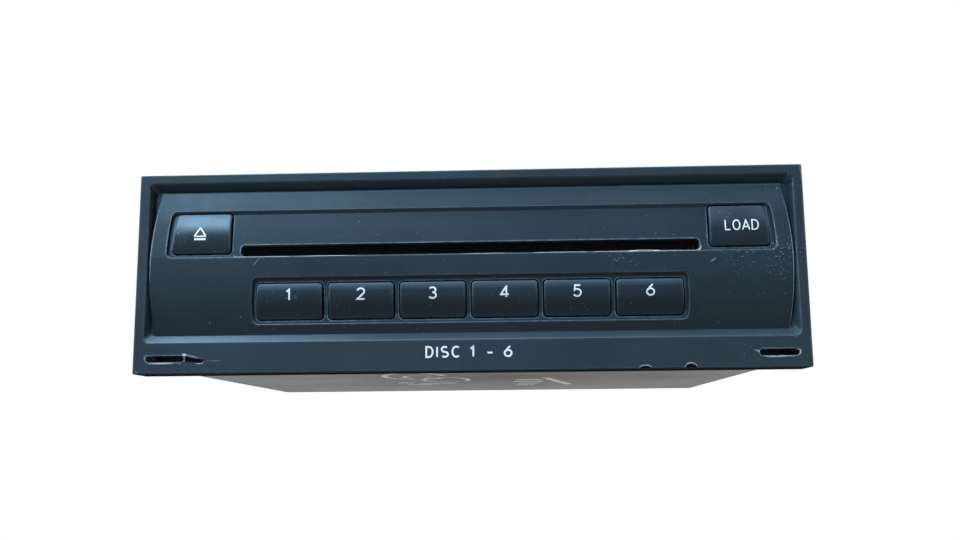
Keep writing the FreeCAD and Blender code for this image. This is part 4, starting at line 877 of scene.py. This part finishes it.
def make_prints():
    """The numbers of the six disc buttons, the signs of the side buttons and the sign below."""
    for number in range(1, 7):
        name = "disc_button_%d" % number
        across = middle_of(name)
        sign(name + "_number", str(number), across, number_down, number_height, 0, number_line, name)
    across = middle_of("load_button") + load_shift
    sign("load_sign", "LOAD", across, load_down, load_height, load_width, load_line, "load_button")
    left, right, top, foot = eject_left, eject_right, eject_top, eject_foot
    middle = (left + right) / 2
    outlines = [
        bar_between((left, foot), (middle, top), eject_line),
        bar_between((middle, top), (right, foot), eject_line),
        bar_between((left, foot), (right, foot), eject_line),
        bar_between((left, eject_bar), (right, eject_bar), eject_bar_line),
    ]
    laid_on_front("eject_sign", outlines, print_look, "eject_button")
    across = face_width / 2
    sign("disc_sign", "DISC 1 - 6", across, sign_down, sign_height, sign_width, sign_line, case_body)


# Wear, painted shade and painted highlights that are large enough to have their own shape

def stroke(name, places, width, material, body=case_body, lift=print_lift):
    """A thin mark along places on the front, pointed at both ends."""
    path = []
    for start, end in zip(places, places[1:]):
        path += [Vector(start).lerp(Vector(end), share / 3) for share in range(3)]
    path.append(Vector(places[-1]))
    left, right = ribbon([tuple(place) for place in path], 1.0)[:2]
    outline = []
    back = []
    for step, place in enumerate(path):
        taper = tip_share + (1 - tip_share) * math.sin(math.pi * step / (len(path) - 1))
        outline.append(corner(*place.lerp(left[step], taper * width)))
        back.append(corner(*place.lerp(right[step], taper * width)))
    return laid_on_front(name, [outline + back[::-1]], material, body, lift)


def make_torn_slot():
    """The pried left key slot: a tear painted dark as its shade, the lip curled up over it,
    and bright broken edges.
    """
    tear = [
        (13.8, 52.3), (14.8, 52.0), (16.2, 52.3), (17.6, 52.65), (18.8, 52.9), (19.8, 53.1),
        (20.1, 53.5), (19.5, 54.0), (18.2, 53.9), (16.4, 53.65), (14.8, 53.6), (13.8, 53.6),
    ]
    # The tear is a flat shape painted dark as its shade
    laid_on_front("torn_slot", [[corner(*place) for place in tear]], painted_shade_look, case_body)
    lip = [(14.6, 51.9), (15.6, 51.95), (16.8, 52.3), (18.2, 52.6), (19.8, 52.8)]
    stroke("torn_lip", lip, 0.42, curl_look, lift=0.14 * MM)
    stroke("torn_tip", [(13.7, 52.1), (14.5, 51.65), (15.6, 51.8)], 0.7, bright_look, lift=0.2 * MM)
    stroke("torn_shine", [(15.2, 51.8), (16.6, 52.0), (18.4, 52.45)], 0.24, torn_and_highlight_look, lift=0.2 * MM)
    edge = [(17.4, 53.95), (18.6, 54.2), (19.6, 54.1), (20.3, 53.5)]
    stroke("torn_edge", edge, 0.26, torn_and_highlight_look, lift=0.06 * MM)
    tab = [(11.6, 53.0), (12.6, 52.75), (13.5, 52.95), (14.2, 52.75)]
    stroke("torn_tab", tab, 0.5, bright_look, lift=0.04 * MM)
    stroke("left_slot_lip", [(4.3, 54.06), (8.0, 54.02), (11.7, 54.06)], 0.36, bright_look)
    stroke("left_slot_end", [(4.3, 51.85), (3.6, 52.15), (3.5, 52.9)], 0.45, bright_look)
    stroke("tear_line", [(20.9, 53.4), (22.8, 53.45), (25.0, 53.45)], 0.1, torn_and_highlight_look)


def make_slot_wear():
    """Pale stretches along the disc slot's lower lip, as start, end and width, and its two ends."""
    stretches = (
        (28.4, 44.0, 0.32), (45.0, 62.0, 0.2),
        (92.0, 106.0, 0.16), (112.0, 128.0, 0.3), (129.0, 157.6, 0.5),
    )
    down = slot_lip_down
    for place, (start, end, width) in enumerate(stretches):
        along = [(start, down), ((start + end) / 2, down), (end, down)]
        stroke("slot_lip_line_%d" % (place + 1), along, width, bright_look)
    end = [(157.4, 24.1), (158.5, 23.9), (159.1, 23.3), (159.15, 22.6)]
    stroke("slot_end_line", end, 0.34, bright_look)
    stroke("slot_start_line", [(28.6, 24.1), (27.7, 23.9), (27.2, 23.4)], 0.2, torn_and_highlight_look)


def make_right_slot_wear():
    """The ragged rim of the right key slot."""
    lip = [(174.4, 53.85), (176.5, 54.1), (179.5, 54.0), (183.6, 53.9)]
    stroke("right_slot_lip", lip, 0.24, bright_look)
    end = [(183.9, 52.0), (184.7, 52.4), (184.6, 53.1), (183.9, 53.8)]
    stroke("right_slot_end", end, 0.3, bright_look)
    start = [(172.2, 52.2), (173.2, 52.4), (173.8, 53.1), (174.2, 53.8)]
    stroke("right_slot_start", start, 0.34, bright_look)
    stroke("right_slot_rim", [(174.4, 51.65), (178.5, 51.55), (183.2, 51.65)], 0.12, curl_look)


def make_nicks():
    """Two bites out of the bottom edge, painted dark as their shade, with whitened rims, and a few
    scratches.
    """
    for name, across, width, height in (("nick_left", 142.4, 3.4, 0.8), ("nick_right", 154.8, 3.4, 1.3)):
        rim = []
        for step in range(nick_steps + 1):
            angle = math.pi * step / nick_steps
            rim.append((across - width / 2 * math.cos(angle), nick_foot - height * math.sin(angle)))
        # Each bite is a flat shape painted dark as its shade
        laid_on_front(name, [[corner(*place) for place in rim]], painted_shade_look, case_body)
        stroke(name + "_rim", rim, 0.34, torn_and_highlight_look, lift=0.06 * MM)
    stroke("scratch_left", [(33.2, 26.6), (34.0, 25.6), (35.0, 24.6)], 0.14, torn_and_highlight_look)
    stroke("scratch_right", [(161.4, 27.5), (162.4, 26.8), (163.2, 26.3)], 0.2, torn_and_highlight_look)
    stroke("corner_scratch", [(181.0, 47.6), (182.6, 48.3), (184.4, 49.2)], 0.14, curl_look)
    stroke("right_edge_wear", [(187.7, 44.0), (187.78, 50.0), (187.8, 56.2)], 0.32, rub_and_highlight_look)
    stroke("right_edge_rub", [(187.7, 8.0), (187.72, 18.0), (187.7, 27.0)], 0.16, rub_and_highlight_look)
    stroke("top_corner_rub", [(187.2, 0.4), (187.6, 2.0), (187.65, 5.0)], 0.24, rub_and_highlight_look)
    stroke("left_corner_spot", [(0.5, 55.6), (1.2, 56.4), (2.2, 56.6)], 0.3, curl_look)


def make_shine():
    """Painted highlights along edges: the two arcs that end the raised panel, and the bezel's upper edge.
    """
    for name, top, foot, width in (("left", 8.2, 31.0, 0.2), ("right", 8.2, 47.0, 0.15)):
        points = []
        for step in range(shine_steps + 1):
            down = top + (foot - top) * step / shine_steps
            inset = panel_end_radius - math.sqrt(panel_end_radius ** 2 - (down - panel_end_down) ** 2)
            across = panel_end_side + inset
            points.append((across if name == "left" else face_width - across, down))
        # A painted highlight along each arc
        stroke("%s_arc_shine" % name, points, width, torn_and_highlight_look)
    # A painted highlight along the bezel's top edge
    stroke("top_edge_shine", [(1.0, 0.3), (22.0, 0.3), (48.0, 0.3)], 0.16, rub_and_highlight_look)


def underside_mark(name, points, width):
    """A pale mark rubbed on the case's underside along places (x, y) in the frame's millimetres."""
    def on_underside(place, depth):
        x, y = place.x * MM, place.y * MM
        hit = tub_surface.ray_cast(Vector((x, y, tub_foot - ray_start)), Vector((0.0, 0.0, 1.0)))[0]
        return x, y, hit.z - depth

    built = bmesh.new()
    add_ribbon(built, points, width, print_lift, print_thickness, on_underside)
    return finished_mesh(built, name, scuff_look)


def make_underside_marks():
    """Pale rubbed loops and short bars on the underside."""
    underside_mark("scuff_loop_near", arc(-21, -30, 10, 18, 20, 350), 2.0)
    underside_mark("scuff_loop_far", arc(-12, -8, 8, 14, 60, 400), 1.8)
    underside_mark("scuff_loop_inner", arc(-20, -26, 5, 9, 120, 330), 1.5)
    bars = (
        (-31, 9, 6), (-24, 17, 8), (-15, 14, 5), (-29, 25, 9),
        (13, -4, 9), (12, 8, 11), (14, 21, 8), (13, 33, 7),
    )
    for place, (x, y, length) in enumerate(bars):
        underside_mark("scuff_bar_%d" % (place + 1), [(x, y), (x + length, y + 1)], scuff_bar_width)
    underside_mark("scuff_slant", [(23, -14), (27, 4), (31, 22), (34, 34)], 3.0)


def make_world():
    """White behind the object and in its reflections, and an even cool light on the rest."""
    world = bpy.data.worlds.new("world")
    scene.world = world
    world.use_nodes = True
    tree = world.node_tree
    tree.nodes.clear()
    path = add_node(tree, "ShaderNodeLightPath")
    seen = either(tree, path.outputs["Is Camera Ray"], path.outputs["Is Glossy Ray"])
    seen = either(tree, seen, path.outputs["Is Transmission Ray"])
    soft = {"Color": (*ambient_colour, 1), "Strength": ambient_strength}
    lit = add_node(tree, "ShaderNodeBackground", soft)
    plain = add_node(tree, "ShaderNodeBackground", {"Color": (*white, 1), "Strength": 1.0})
    mix = add_node(tree, "ShaderNodeMixShader", {0: seen, 1: lit.outputs[0], 2: plain.outputs[0]})
    end = add_node(tree, "ShaderNodeOutputWorld")
    feed(tree, mix.outputs[0], end.inputs["Surface"])


def make_floor():
    """A pale floor seen from above only, because the camera looks up from a little below it."""
    mesh = bpy.data.meshes.new("floor")
    half = floor_size / 2
    corners = [(-half, -half, 0), (half, -half, 0), (half, half, 0), (-half, half, 0)]
    mesh.from_pydata(corners, [], [(0, 1, 2, 3)])
    made, tree, shader = new_material("floor_look")
    shade = blend(tree, noise(tree, floor_cloud), floor_colour, darker(floor_colour, floor_shade))
    feed(tree, shade, shader.inputs["Base Color"])
    shader.inputs["Roughness"].default_value = floor_roughness
    path = add_node(tree, "ShaderNodeLightPath")
    below = add_node(tree, "ShaderNodeNewGeometry").outputs["Backfacing"]
    above = math_node(tree, "SUBTRACT", 1.0, below)
    shown = both(tree, path.outputs["Is Camera Ray"], above)
    clear = add_node(tree, "ShaderNodeBsdfTransparent")
    mix = add_node(tree, "ShaderNodeMixShader", {0: shown, 1: clear.outputs[0], 2: shader.outputs[0]})
    end = [item for item in tree.nodes if item.type == "OUTPUT_MATERIAL"][0]
    feed(tree, mix.outputs[0], end.inputs["Surface"])
    mesh.materials.append(made)
    floor = bpy.data.objects.new("floor", mesh)
    scene.collection.objects.link(floor)


scene.view_settings.view_transform = "Standard"
make_camera()
make_world()
add_lamp("key", key_place, key_size, key_power, key_colour)
add_lamp("rim", rim_place, rim_size, rim_power, key_colour)
add_lamp("left", left_place, left_size, left_power, key_colour)
add_lamp("under", under_place, under_size, under_power, white)
add_lamp("front", front_place, front_size, front_power, front_colour)
add_lamp("right", right_place, right_size, right_power, key_colour)
make_floor()
dress_nodes()
surface = front_surface()
tub_surface = tub_faces()
print_look = print_material()
# Painted shade, for openings, overhangs and the foot
painted_shade_look = damage_material("painted_shade_look", painted_shade_colour, painted_shade_faded, roughness=0.8, specular=0.02)
# Torn plastic, and painted highlights along the panel's arcs
torn_and_highlight_look = damage_material("torn_and_highlight_look", torn_and_highlight_colour, torn_and_highlight_faded, roughness=0.5)
curl_look = damage_material("curl_look", curl_colour, curl_faded, roughness=0.4)
scuff_look = chalk_material()
bright_look = damage_material("bright_look", bright_colour, bright_faded, roughness=0.5)
# Rubbed edges, and a painted highlight along the top edge
rub_and_highlight_look = damage_material("edge_look", rub_and_highlight_colour, rub_and_highlight_faded, roughness=0.5)
make_prints()
make_torn_slot()
make_slot_wear()
make_right_slot_wear()
make_nicks()
make_shine()
make_underside_marks()
